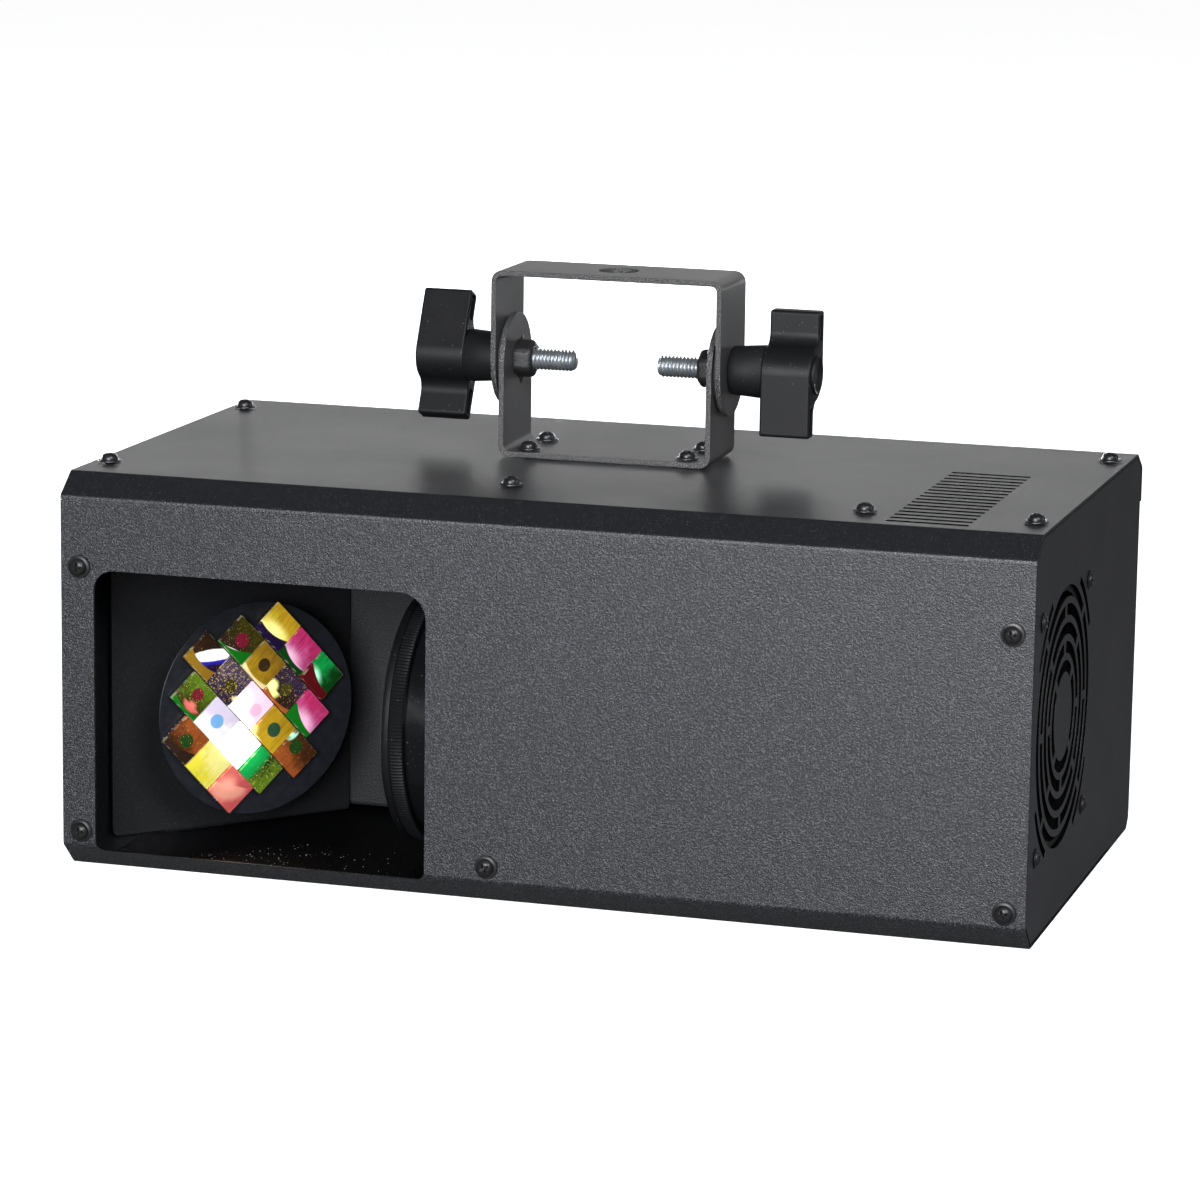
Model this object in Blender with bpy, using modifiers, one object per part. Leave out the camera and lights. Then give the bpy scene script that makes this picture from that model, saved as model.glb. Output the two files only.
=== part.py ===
"""LED effect light: a folded sheet-steel housing with a light window, a slanted disc of mirror tiles that turns
in front of a lens, and a hanging bracket clamped by two wing knobs. Metres, +Z up, the front looks along -Y,
and the origin is at the middle of the base."""

import math

import bmesh
import bpy
from mathutils import Matrix, Vector

COLLECTION = "led_effect_light"

# Housing, outside sizes
HOUSING_WIDTH = 0.355
HOUSING_HEIGHT = 0.145
FRONT_DEPTH = 0.098
REAR_DEPTH = 0.0968
SHEET = 0.0012
BEND_RADIUS = 0.0022
BEND_STEPS = 2
CLEARANCE = 0.0003
OVERRUN = 0.002

# Chamfers and lips of the folded sheets
TOP_CHAMFER_DEPTH = 0.0098
TOP_CHAMFER_HEIGHT = 0.0075
COVER_LIP = 0.0015
BASE_CHAMFER_DEPTH = 0.0097
BASE_CHAMFER_HEIGHT = 0.009
REAR_SLOPE_DEPTH = 0.0073
REAR_SLOPE_HEIGHT = 0.0064
REAR_LIP = 0.013
REAR_LIP_STANDOFF = 0.0028
REAR_BASE_CHAMFER = 0.0038
REAR_BASE_LIP = 0.0015
SIDE_FLANGE = 0.012

# Light window in the front panel
WINDOW_SIDE_MARGIN = 0.0125
WINDOW_WIDTH = 0.1257
WINDOW_TOP = 0.111
WINDOW_BOTTOM = 0.0072
WINDOW_LEFT_RADIUS = 0.0075
WINDOW_RIGHT_RADIUS = 0.0095
WINDOW_FOOT_RADIUS = 0.0035
CORNER_STEPS = 5

# Vent slots in the top cover
VENT_COUNT = 17
VENT_LENGTH = 0.029
VENT_WIDTH = 0.0028
VENT_PITCH = 0.0065
VENT_FROM_RIGHT = 0.0275
VENT_FROM_FRONT = 0.0174

# Inner walls
BACK_WALL_FROM_FRONT = 0.113
BACK_WALL_FLANGE = 0.012
WALL_FLANGE = 0.015
LENS_WALL_FROM_DISC = 0.0984
HEATSINK_WALL_FROM_RIGHT = 0.0742
WALL_SCREW_SETBACK = 0.0074
LENS_WALL_SCREW_BACK = 0.0059
FRONT_WALL_SCREW_SETBACK = 0.0112

# Turning disc, its motor and the slanted plate that carries them
DISC_FROM_LEFT = 0.0519
DISC_FROM_FRONT = 0.0602
DISC_PLAN_ANGLE = math.radians(48.5)
DISC_DIAMETER = 0.080
DISC_THICKNESS = 0.003
DISC_EDGE_CHAMFER = 0.0005
DISC_STANDOFF = 0.0201
DISC_HUB_RADIUS = 0.009
DISC_HUB_LENGTH = 0.008
DISC_STEPS = 40
SHAFT_RADIUS = 0.0025
SHAFT_IN_HUB = 0.006
SHAFT_IN_MOTOR = 0.012
MOTOR_SIZE = 0.042
MOTOR_LENGTH = 0.024
MOTOR_CORNER = 0.004
MOTOR_BOSS_RADIUS = 0.011
MOTOR_BOSS_LENGTH = 0.002
PLATE_FROM_LEFT = 0.0033
PLATE_HEAD_ROOM = 0.004
PLATE_FLANGE = 0.007
PLATE_FOOT = 0.022
PLATE_CORNER_RADIUS = 0.003

# Mirror tiles
TILE_ROWS = (3, 4, 5, 4, 3)
TILE_SIZE = 0.0130
TILE_PITCH = 0.0137
TILE_HEIGHT = 0.0026
TILE_BED = 0.0008
TILE_GRID_ANGLE = math.radians(-48.0)
TILE_SHIFT_ACROSS = -0.0035
TILE_ROW_SLIPS = (0.0, -0.0007, 0.0, 0.0005, 0.0034)
TILE_LAST_ROW_RISE = 0.0004
TILE_SHIFT_UP = 0.0019
TILE_SPREAD_ANGLE = math.radians(4.5)
TILE_WOBBLE_ANGLE = math.radians(1.8)
TILE_WOBBLE_TURN = 2.4

# Lens
LENS_FROM_DISC = 0.0641
LENS_RISE = 0.0032
LENS_FLOOR_GAP = 0.0065
BARREL_RADIUS = 0.043
BARREL_WALL = 0.003
BARREL_TAIL = 0.046
BARREL_FLANGE_LIP = 0.004
BARREL_FLANGE = 0.002
RING_WALL = 0.003
RING_LENGTH = 0.0088
RING_LIP = 0.0013
RING_RIBS = 50
RING_RIB_HEIGHT = 0.0005
GLASS_EDGE = 0.003
GLASS_CROWN = 0.009
GLASS_STEPS = 3
BARREL_STEPS = 36

# Light source and heatsink
HEATSINK_WIDTH = 0.090
HEATSINK_HEIGHT = 0.082
HEATSINK_BASE = 0.008
HEATSINK_FIN_LENGTH = 0.034
HEATSINK_FIN = 0.0025
HEATSINK_FINS = 9
HEATSINK_SEAT = 0.003
LED_BOARD_RADIUS = 0.030
LED_BOARD = 0.002
LED_DOME_RADIUS = 0.006
LED_DOME_HEIGHT = 0.0025
COLLIMATOR_THROAT_RADIUS = 0.011
COLLIMATOR_MOUTH_RADIUS = 0.029
COLLIMATOR_LENGTH = 0.030
COLLIMATOR_WALL = 0.002
LED_STEPS = 24

# Fan and the grille in front of it
FAN_FROM_FRONT = 0.0555
FAN_SIZE = 0.092
FAN_DEPTH = 0.025
FAN_CORNER_RADIUS = 0.004
FAN_BORE_RADIUS = 0.0442
FAN_SCREW_PITCH = 0.0825
FAN_STATOR_RADIUS = 0.019
FAN_STATOR = 0.003
FAN_STRUT = 0.004
FAN_HUB_RADIUS = 0.018
FAN_HUB_CHAMFER = 0.002
FAN_HUB_GAP = 0.0006
FAN_TIP_GAP = 0.0014
FAN_FACE_GAP = 0.0015
FAN_SHAFT_RADIUS = 0.002
FAN_BLADES = 7
FAN_BLADE = 0.0014
FAN_ROOT_RISE = 0.014
FAN_TIP_RISE = 0.010
FAN_ROOT_SWEEP = math.radians(32)
FAN_TIP_SWEEP = math.radians(42)
FAN_BLADE_CUTS = 3
FAN_STEPS = 32
GRILLE_RINGS = 5
GRILLE_RADIUS = 0.0464
GRILLE_PITCH = 0.00665
GRILLE_SLOT = 0.0041
GRILLE_BRIDGE = 0.003
GRILLE_CORNER_SLOT = 0.003
GRILLE_CORNER_SWEEP = math.radians(32)
GRILLE_STEPS = 6

# Electronics behind the back wall
SUPPLY_LENGTH = 0.140
SUPPLY_DEPTH = 0.038
SUPPLY_HEIGHT = 0.038
SUPPLY_FROM_LEFT = 0.028
SUPPLY_FROM_WALL = 0.017
SUPPLY_EDGE = 0.0015
BOARD_WIDTH = 0.074
BOARD_HEIGHT = 0.050
BOARD = 0.0016
BOARD_FROM_PANEL = 0.010
BOARD_POST_RADIUS = 0.003
BOARD_POST_INSET = 0.005

# Rear panel and what it carries
DISPLAY_WIDTH = 0.052
DISPLAY_HEIGHT = 0.022
DISPLAY_DEPTH = 0.003
DISPLAY_PROUD = 0.0006
DISPLAY_CORNER_RADIUS = 0.0015
DISPLAY_FROM_RIGHT = 0.1175
DISPLAY_UP = 0.102
BUTTON_COUNT = 4
BUTTON_RADIUS = 0.004
BUTTON_PROUD = 0.0016
BUTTON_EDGE = 0.0006
BUTTON_COLLAR_RADIUS = 0.0052
BUTTON_COLLAR = 0.001
BUTTON_TRAVEL = 0.0008
BUTTON_PITCH = 0.014
BUTTON_DROP = 0.022
BUTTON_STEPS = 12
INLET_WIDTH = 0.0274
INLET_HEIGHT = 0.0198
INLET_DEPTH = 0.020
INLET_FLANGE_WIDTH = 0.050
INLET_FLANGE_HEIGHT = 0.0274
INLET_FLANGE = 0.0022
INLET_WALL = 0.0016
INLET_RECESS = 0.016
INLET_CORNER = 0.004
INLET_PIN_WIDTH = 0.002
INLET_PIN_HEIGHT = 0.004
INLET_PIN_LENGTH = 0.010
INLET_PIN_SPACING = 0.007
INLET_FROM_LEFT = 0.0475
SOCKET_UP = 0.038
FUSE_CAP_RADIUS = 0.008
FUSE_CAP = 0.006
FUSE_BODY_RADIUS = 0.006
FUSE_BODY_LENGTH = 0.022
FUSE_SLOT = 0.0014
FUSE_SLOT_DEPTH = 0.0015
FUSE_FROM_LEFT = 0.0925
SIGNAL_FLANGE_WIDTH = 0.026
SIGNAL_FLANGE_HEIGHT = 0.031
SIGNAL_FLANGE = 0.002
SIGNAL_RADIUS = 0.0118
SIGNAL_DEPTH = 0.018
SIGNAL_MOUTH_RADIUS = 0.0095
SIGNAL_RECESS = 0.014
SIGNAL_PIN_RADIUS = 0.0012
SIGNAL_PIN_LENGTH = 0.009
SIGNAL_PIN_CIRCLE = 0.0045
SIGNAL_HOLE_RADIUS = 0.0015
SIGNAL_HOLE_DEPTH = 0.010
SIGNAL_PINS = 3
SIGNAL_IN_FROM_RIGHT = 0.0925
SIGNAL_OUT_FROM_RIGHT = 0.1325
SOCKET_STEPS = 16

# Brackets
BRACKET_ACROSS = -0.003
BRACKET_BACK = 0.012
BRACKET_STRIP = 0.034
BRACKET_SHEET = 0.002
BRACKET_BEND_RADIUS = 0.004
BRACKET_BEND_STEPS = 4
BRACKET_END_STEPS = 12
LOWER_BRACKET_WIDTH = 0.0808
BOLT_RISE = 0.0347
HANGING_RISE = 0.0343
MOUNT_HOLE_RADIUS = 0.0074
BRACKET_SCREW_SPACING = 0.0605
BRACKET_SCREW_SPACING_BACK = 0.022
FRICTION_WASHER = 0.0007
FRICTION_WASHER_RADIUS = 0.0155

# Clamp knobs, studs and weld nuts
STUD_RADIUS = 0.004
STUD_LENGTH = 0.040
STUD_IN_KNOB = 0.012
STUD_CHAMFER = 0.0007
NUT_FLATS = 0.013
NUT_LENGTH = 0.0064
NUT_CHAMFER = 0.001
KNOB_HUB_LENGTH = 0.0127
KNOB_HUB_RADIUS = 0.009
KNOB_HUB_TOP_RADIUS = 0.0098
KNOB_BOSS_RADIUS = 0.010
KNOB_LENGTH = 0.0186
KNOB_WING_REACH = 0.0224
KNOB_WING = 0.007
KNOB_FILLET = 0.005
KNOB_TIP_RADIUS = 0.001
KNOB_WALL = 0.0014
KNOB_POCKET_REACH = 0.0095
KNOB_POCKET_DEPTH = 0.006
KNOB_CAP_RADIUS = 0.00725
KNOB_CAP_PROUD = 0.0008
KNOB_STEPS = 24
LEFT_KNOB_LEAN = math.radians(26)
RIGHT_KNOB_LEAN = 0.0

# Screws
SCREW_RADIUS = 0.0017
SCREW_LENGTH = 0.005
BRACKET_SCREW_LENGTH = 0.0045
SCREW_WASHER_RADIUS = 0.0042
SCREW_WASHER = 0.0008
SCREW_DOME_RADIUS = 0.0035
SCREW_DOME_HEIGHT = 0.0023
SCREW_DOME_STEPS = 2
LOW_SCREW_COLLAR = 0.0004
LOW_SCREW_RADIUS = 0.0036
LOW_SCREW_DOME_RADIUS = 0.0034
LOW_SCREW_DOME_HEIGHT = 0.0008
SCREW_STEPS = 10
SCREW_HOLE_STEPS = 8
TOP_SCREW_INSET = 0.0066
TOP_SCREW_FROM_FRONT = 0.030
TOP_SCREW_FROM_REAR = 0.0288
FRONT_SCREW_INSET = 0.0073
FRONT_SCREW_HIGH = 0.112
FRONT_SCREW_LOW = 0.0147

MERGE_DISTANCE = 0.000001
SMOOTH_ANGLE = math.radians(35)

# Places that follow from the sizes above
half_width = HOUSING_WIDTH / 2
front_y = -FRONT_DEPTH
rear_y = REAR_DEPTH
seam = SHEET + CLEARANCE
rear_slope = math.atan2(REAR_SLOPE_HEIGHT, REAR_SLOPE_DEPTH + REAR_LIP_STANDOFF)
left_inner_x = -half_width + SHEET
right_inner_x = half_width - SHEET
back_wall_y = front_y + BACK_WALL_FROM_FRONT
ring_radius = BARREL_RADIUS + CLEARANCE + RING_WALL
lens_z = SHEET + LENS_FLOOR_GAP + ring_radius
disc_z = lens_z - LENS_RISE
disc_centre = Vector((-half_width + DISC_FROM_LEFT, front_y + DISC_FROM_FRONT, disc_z))
disc_normal = Vector((math.sin(DISC_PLAN_ANGLE), -math.cos(DISC_PLAN_ANGLE), 0))
disc_across = Vector((math.cos(DISC_PLAN_ANGLE), math.sin(DISC_PLAN_ANGLE), 0))
lens_y = disc_centre.y
ring_x = disc_centre.x + LENS_FROM_DISC
lens_wall_x = disc_centre.x + LENS_WALL_FROM_DISC
heatsink_wall_x = half_width - HEATSINK_WALL_FROM_RIGHT
fan_y = front_y + FAN_FROM_FRONT
fan_z = HOUSING_HEIGHT / 2
fan_x = right_inner_x - CLEARANCE - FAN_DEPTH / 2
display_x = half_width - DISPLAY_FROM_RIGHT
inlet_x = -half_width + INLET_FROM_LEFT
fuse_x = -half_width + FUSE_FROM_LEFT
signal_in_x = half_width - SIGNAL_IN_FROM_RIGHT
signal_out_x = half_width - SIGNAL_OUT_FROM_RIGHT
bolt_z = HOUSING_HEIGHT + BOLT_RISE
lower_half = LOWER_BRACKET_WIDTH / 2
hanging_half = lower_half + FRICTION_WASHER + 2 * CLEARANCE + BRACKET_SHEET
hole_radius = STUD_RADIUS + CLEARANCE

# Turns that carry a piece's own XYZ axes to a face of the housing
FACE_RIGHT = (math.pi / 2, 0, math.pi / 2)
FACE_LEFT = (math.pi / 2, 0, -math.pi / 2)
FACE_FRONT = (math.pi / 2, 0, 0)
FACE_REAR = (math.pi / 2, 0, math.pi)
FACE_TOP = (0, 0, 0)
FACE_DISC = (math.pi / 2, 0, DISC_PLAN_ANGLE)

# Finishes as (colour, roughness, metallic)
SHELL_PAINT = ((0.045, 0.047, 0.052, 1), 0.55, 0.0)
CHAMBER_PAINT = ((0.022, 0.023, 0.027, 1), 0.7, 0.0)
BRACKET_PAINT = ((0.040, 0.041, 0.046, 1), 0.6, 0.0)
BLACK_PLASTIC = ((0.012, 0.012, 0.014, 1), 0.45, 0.0)
BLACK_STEEL = ((0.010, 0.010, 0.012, 1), 0.25, 0.6)
DARK_NICKEL = ((0.25, 0.24, 0.23, 1), 0.25, 1.0)
ZINC = ((0.62, 0.66, 0.68, 1), 0.3, 1.0)
ALUMINIUM = ((0.70, 0.71, 0.73, 1), 0.4, 1.0)
MIRROR = ((0.95, 0.75, 0.35, 1), 0.05, 1.0)
GLASS = ((0.85, 0.90, 0.92, 1), 0.05, 0.0)
BOARD_GREEN = ((0.02, 0.12, 0.05, 1), 0.5, 0.0)
FIBRE = ((0.020, 0.020, 0.020, 1), 0.85, 0.0)

for old in list(bpy.data.objects):
    bpy.data.objects.remove(old, do_unlink=True)

parts = bpy.data.collections.new(COLLECTION)
cutters = bpy.data.collections.new(COLLECTION + "_cutters")
bpy.context.scene.collection.children.link(parts)
bpy.context.scene.collection.children.link(cutters)


# Outlines

def arc(centre, radius, start, sweep, steps):
    """Points along an arc, both ends included."""
    angles = [start + sweep * i / steps for i in range(steps + 1)]
    return [(centre[0] + radius * math.cos(a), centre[1] + radius * math.sin(a)) for a in angles]


def circle(centre, radius, steps):
    return arc(centre, radius, 0, 2 * math.pi, steps)[:-1]


def rectangle(width, height, centre=(0, 0)):
    x, y = width / 2, height / 2
    return [(centre[0] + a * x, centre[1] + b * y) for a, b in ((-1, -1), (1, -1), (1, 1), (-1, 1))]


def rounded(points, radii, steps, closed=True):
    """The same path with each corner replaced by an arc; radii is one value or one for each point."""
    count = len(points)
    if not isinstance(radii, (list, tuple)):
        radii = [radii] * count
    path = []
    for i, point in enumerate(points):
        if radii[i] == 0 or (not closed and i in (0, count - 1)):
            path.append(tuple(point))
            continue
        here = Vector(point)
        before = Vector(points[i - 1]) - here
        after = Vector(points[(i + 1) % count]) - here
        half = before.angle(after) / 2
        reach = min(radii[i] / math.tan(half), min(before.length, after.length) * 0.49)
        radius = reach * math.tan(half)
        start = here + before.normalized() * reach
        middle = here + (before.normalized() + after.normalized()).normalized() * reach / math.cos(half)
        turn = math.pi - 2 * half
        if before.cross(after) > 0:
            turn = -turn
        spoke = start - middle
        angle = math.atan2(spoke.y, spoke.x)
        path += arc(middle, radius, angle, turn, steps)
    return path


def inset(points, distance):
    """A closed counter-clockwise outline moved inwards by a distance."""
    moved = []
    for i, point in enumerate(points):
        here = Vector(point)
        first = (here - Vector(points[i - 1])).normalized()
        second = (Vector(points[(i + 1) % len(points)]) - here).normalized()
        normals = Vector((-first.y, first.x)), Vector((-second.y, second.x))
        moved.append(tuple(here + (normals[0] + normals[1]) * distance / (1 + normals[0].dot(normals[1]))))
    return moved


def housing_section():
    """The housing cut across its width: (y, z) points of its outer faces, counter-clockwise."""
    return [
        (front_y + BASE_CHAMFER_DEPTH, 0),
        (rear_y - REAR_BASE_CHAMFER, 0),
        (rear_y, REAR_BASE_CHAMFER),
        (rear_y, HOUSING_HEIGHT - REAR_SLOPE_DEPTH * math.tan(rear_slope)),
        (rear_y - REAR_SLOPE_DEPTH, HOUSING_HEIGHT),
        (front_y + TOP_CHAMFER_DEPTH, HOUSING_HEIGHT),
        (front_y, HOUSING_HEIGHT - TOP_CHAMFER_HEIGHT),
        (front_y, BASE_CHAMFER_HEIGHT),
    ]


def chamber_section():
    """The part of that section in front of the back wall."""
    rear = back_wall_y - CLEARANCE + seam
    return [
        (front_y + BASE_CHAMFER_DEPTH, 0),
        (rear, 0),
        (rear, HOUSING_HEIGHT),
        (front_y + TOP_CHAMFER_DEPTH, HOUSING_HEIGHT),
        (front_y, HOUSING_HEIGHT - TOP_CHAMFER_HEIGHT),
        (front_y, BASE_CHAMFER_HEIGHT),
    ]


# Meshes

def new_object(name, bm, home):
    mesh = bpy.data.meshes.new(name)
    bm.to_mesh(mesh)
    bm.free()
    obj = bpy.data.objects.new(name, mesh)
    home.objects.link(obj)
    if home == cutters:
        obj.hide_render = True
        obj.display_type = "WIRE"
    return obj


def place(obj, location, rotation=FACE_TOP):
    obj.location = location
    obj.rotation_euler = rotation
    return obj


def box(name, low, high, home=parts):
    bm = bmesh.new()
    bmesh.ops.create_cube(bm, size=1)
    low, high = Vector(low), Vector(high)
    bmesh.ops.scale(bm, vec=high - low, verts=bm.verts)
    bmesh.ops.translate(bm, vec=(high + low) / 2, verts=bm.verts)
    return new_object(name, bm, home)


def flat_plate(name, loops, thickness, home=parts):
    """A flat sheet in its own XY plane, with z from 0 to its thickness: one outline, then its holes."""
    curve = bpy.data.curves.new(name, "CURVE")
    curve.dimensions = "2D"
    curve.fill_mode = "BOTH"
    curve.extrude = thickness / 2
    for loop in loops:
        spline = curve.splines.new("POLY")
        spline.points.add(len(loop) - 1)
        for point, (x, y) in zip(spline.points, loop):
            point.co = (x, y, 0, 1)
        spline.use_cyclic_u = True
    guide = bpy.data.objects.new(name + "_guide", curve)
    cutters.objects.link(guide)
    graph = bpy.context.evaluated_depsgraph_get()
    mesh = bpy.data.meshes.new_from_object(guide.evaluated_get(graph))
    bpy.data.objects.remove(guide, do_unlink=True)
    bm = bmesh.new()
    bm.from_mesh(mesh)
    bpy.data.meshes.remove(mesh)
    bpy.data.curves.remove(curve)
    bmesh.ops.remove_doubles(bm, verts=bm.verts, dist=MERGE_DISTANCE)
    bmesh.ops.recalc_face_normals(bm, faces=bm.faces)
    bmesh.ops.translate(bm, vec=(0, 0, thickness / 2), verts=bm.verts)
    return new_object(name, bm, home)


def turned(name, profile, steps, home=parts, ring=False):
    """A turned solid about its own Z. The profile is (radius, height) points from the top, down the outer side."""
    bm = bmesh.new()
    verts = [bm.verts.new((radius, 0, height)) for radius, height in profile]
    for start, end in zip(verts, verts[1:]):
        bm.edges.new((start, end))
    if ring:
        bm.edges.new((verts[-1], verts[0]))
    obj = new_object(name, bm, home)
    screw = obj.modifiers.new("turn", "SCREW")
    screw.axis = "Z"
    screw.steps = steps
    screw.render_steps = steps
    screw.use_merge_vertices = True
    screw.merge_threshold = MERGE_DISTANCE
    return obj


def cylinder(name, radius, low, high, steps, home=cutters):
    """A cylinder about its own Z, from the height low to the height high."""
    bm = bmesh.new()
    bmesh.ops.create_cone(bm, cap_ends=True, segments=steps, radius1=radius, radius2=radius, depth=high - low)
    bmesh.ops.translate(bm, vec=(0, 0, (high + low) / 2), verts=bm.verts)
    return new_object(name, bm, home)


def thicken(obj, thickness):
    solidify = obj.modifiers.new("thickness", "SOLIDIFY")
    solidify.thickness = thickness
    solidify.offset = -1
    solidify.use_even_offset = True


def folded_strip(name, path, length, thickness, home=parts):
    """A folded sheet: a path in its own XY plane, swept up its Z, with the thickness on the path's left."""
    bm = bmesh.new()
    verts = [bm.verts.new((x, y, 0)) for x, y in path]
    edges = [bm.edges.new(pair) for pair in zip(verts, verts[1:])]
    swept = bmesh.ops.extrude_edge_only(bm, edges=edges)["geom"]
    moved = [item for item in swept if isinstance(item, bmesh.types.BMVert)]
    bmesh.ops.translate(bm, vec=(0, 0, length), verts=moved)
    bmesh.ops.recalc_face_normals(bm, faces=bm.faces)
    bm.faces.ensure_lookup_table()
    along = Vector(path[1]) - Vector(path[0])
    first = min(bm.faces, key=lambda face: (face.calc_center_median().xy - Vector(path[0])).length)
    if first.normal.x * along.y - first.normal.y * along.x < 0:
        bmesh.ops.reverse_faces(bm, faces=bm.faces)
    obj = new_object(name, bm, home)
    thicken(obj, thickness)
    return obj


def folded_pan(name, outline, depth):
    """A sheet with a flange all round: its face lies in its own XY plane and the flange runs down to -depth."""
    bm = bmesh.new()
    face = bm.faces.new([bm.verts.new((x, y, 0)) for x, y in outline])
    swept = bmesh.ops.extrude_edge_only(bm, edges=list(face.edges))["geom"]
    moved = [item for item in swept if isinstance(item, bmesh.types.BMVert)]
    bmesh.ops.translate(bm, vec=(0, 0, -depth), verts=moved)
    bmesh.ops.recalc_face_normals(bm, faces=bm.faces)
    bm.faces.ensure_lookup_table()
    front = max(bm.faces, key=lambda item: item.calc_center_median().z)
    if front.normal.z < 0:
        bmesh.ops.reverse_faces(bm, faces=bm.faces)
    obj = new_object(name, bm, parts)
    thicken(obj, SHEET)
    return obj


def combine(obj, operation, *tools):
    for tool in tools:
        boolean = obj.modifiers.new(operation.lower() + "_" + tool.name, "BOOLEAN")
        boolean.operation = operation
        boolean.object = tool


def cut(obj, *tools):
    combine(obj, "DIFFERENCE", *tools)


def fuse(obj, *tools):
    combine(obj, "UNION", *tools)


def soften(obj, width, steps=1):
    bevel = obj.modifiers.new("edges", "BEVEL")
    bevel.width = width
    bevel.segments = steps
    bevel.limit_method = "ANGLE"


def joined(name, pieces):
    """Several cutter meshes that don't touch, as one cutter placed in the world."""
    graph = bpy.context.evaluated_depsgraph_get()
    bm = bmesh.new()
    for piece in pieces:
        mesh = bpy.data.meshes.new_from_object(piece.evaluated_get(graph))
        mesh.transform(piece.matrix_basis)
        bm.from_mesh(mesh)
        bpy.data.meshes.remove(mesh)
        bpy.data.objects.remove(piece, do_unlink=True)
    return new_object(name, bm, cutters)


def finish(obj, look):
    """Gives a piece its own material, then fixes its modifiers' result so that round faces shade smooth."""
    colour, roughness, metallic = look
    graph = bpy.context.evaluated_depsgraph_get()
    mesh = bpy.data.meshes.new_from_object(obj.evaluated_get(graph))
    mesh.name = obj.name
    obj.modifiers.clear()
    obj.data = mesh
    mesh.shade_smooth()
    mesh.set_sharp_from_angle(angle=SMOOTH_ANGLE)
    material = bpy.data.materials.new(obj.name)
    material.use_nodes = True
    shader = material.node_tree.nodes["Principled BSDF"]
    shader.inputs["Base Color"].default_value = colour
    shader.inputs["Roughness"].default_value = roughness
    shader.inputs["Metallic"].default_value = metallic
    material.diffuse_color = colour
    material.roughness = roughness
    material.metallic = metallic
    mesh.materials.clear()
    mesh.materials.append(material)
    return obj


# Screws

def screw_places():
    """Name, seat point, facing turn, shank length and finish of each screw."""
    top, right = HOUSING_HEIGHT + CLEARANCE, half_width + CLEARANCE
    front = front_y - CLEARANCE
    side = half_width - FRONT_SCREW_INSET
    for i, (x, z) in enumerate(
        [(-side, FRONT_SCREW_HIGH), (-side, FRONT_SCREW_LOW), (side, FRONT_SCREW_HIGH), (side, FRONT_SCREW_LOW)]
        + [(lens_wall_x + FRONT_WALL_SCREW_SETBACK, FRONT_SCREW_LOW)]
    ):
        yield f"front_screw_{i + 1}", (x, front, z), FACE_FRONT, SCREW_LENGTH, DARK_NICKEL
    side = half_width - TOP_SCREW_INSET
    near, far = front_y + TOP_SCREW_FROM_FRONT, rear_y - TOP_SCREW_FROM_REAR
    walls = lens_wall_x + WALL_SCREW_SETBACK, heatsink_wall_x + WALL_SCREW_SETBACK
    for i, (x, y) in enumerate(
        [(-side, near), (-side, far), (side, near), (side, far)]
        + [(walls[0], near + LENS_WALL_SCREW_BACK), (walls[1], near)]
    ):
        yield f"top_screw_{i + 1}", (x, y, top), FACE_TOP, SCREW_LENGTH, BLACK_STEEL
    for i, (a, b) in enumerate(rectangle(BRACKET_SCREW_SPACING, BRACKET_SCREW_SPACING_BACK)):
        place_on = (BRACKET_ACROSS + a, BRACKET_BACK + b, top + BRACKET_SHEET + CLEARANCE)
        yield f"bracket_screw_{i + 1}", place_on, FACE_TOP, BRACKET_SCREW_LENGTH, BLACK_STEEL
    for i, (a, b) in enumerate(rectangle(FAN_SCREW_PITCH, FAN_SCREW_PITCH)):
        yield f"fan_screw_{i + 1}", (right, fan_y + a, fan_z + b), FACE_RIGHT, SCREW_LENGTH, BLACK_STEEL


def make_screw(name, location, rotation, length, look):
    """A pan-head screw with its collar, seated at its own z = 0. The side's screws have lower heads."""
    low = rotation == FACE_RIGHT
    collar = LOW_SCREW_COLLAR if low else SCREW_WASHER
    collar_radius = LOW_SCREW_RADIUS if low else SCREW_WASHER_RADIUS
    dome_radius = LOW_SCREW_DOME_RADIUS if low else SCREW_DOME_RADIUS
    dome_height = LOW_SCREW_DOME_HEIGHT if low else SCREW_DOME_HEIGHT
    dome = [
        (dome_radius * math.sin(a), collar + dome_height * math.cos(a))
        for a in (math.pi / 2 * i / SCREW_DOME_STEPS for i in range(SCREW_DOME_STEPS + 1))
    ]
    shank = [(collar_radius, collar), (collar_radius, 0), (SCREW_RADIUS, 0)]
    obj = turned(name, dome + shank + [(SCREW_RADIUS, -length), (0, -length)], SCREW_STEPS)
    finish(place(obj, location, rotation), look)


def make_screws():
    for place_of in screw_places():
        make_screw(*place_of)


def screw_holes():
    """One cutter with the clearance hole of every screw."""
    holes = []
    for name, location, rotation, length, _ in screw_places():
        hole = cylinder("hole_" + name, SCREW_RADIUS + CLEARANCE, -length - OVERRUN, OVERRUN, SCREW_HOLE_STEPS)
        holes.append(place(hole, location, rotation))
    return joined("screw_holes", holes)


# Housing

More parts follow.
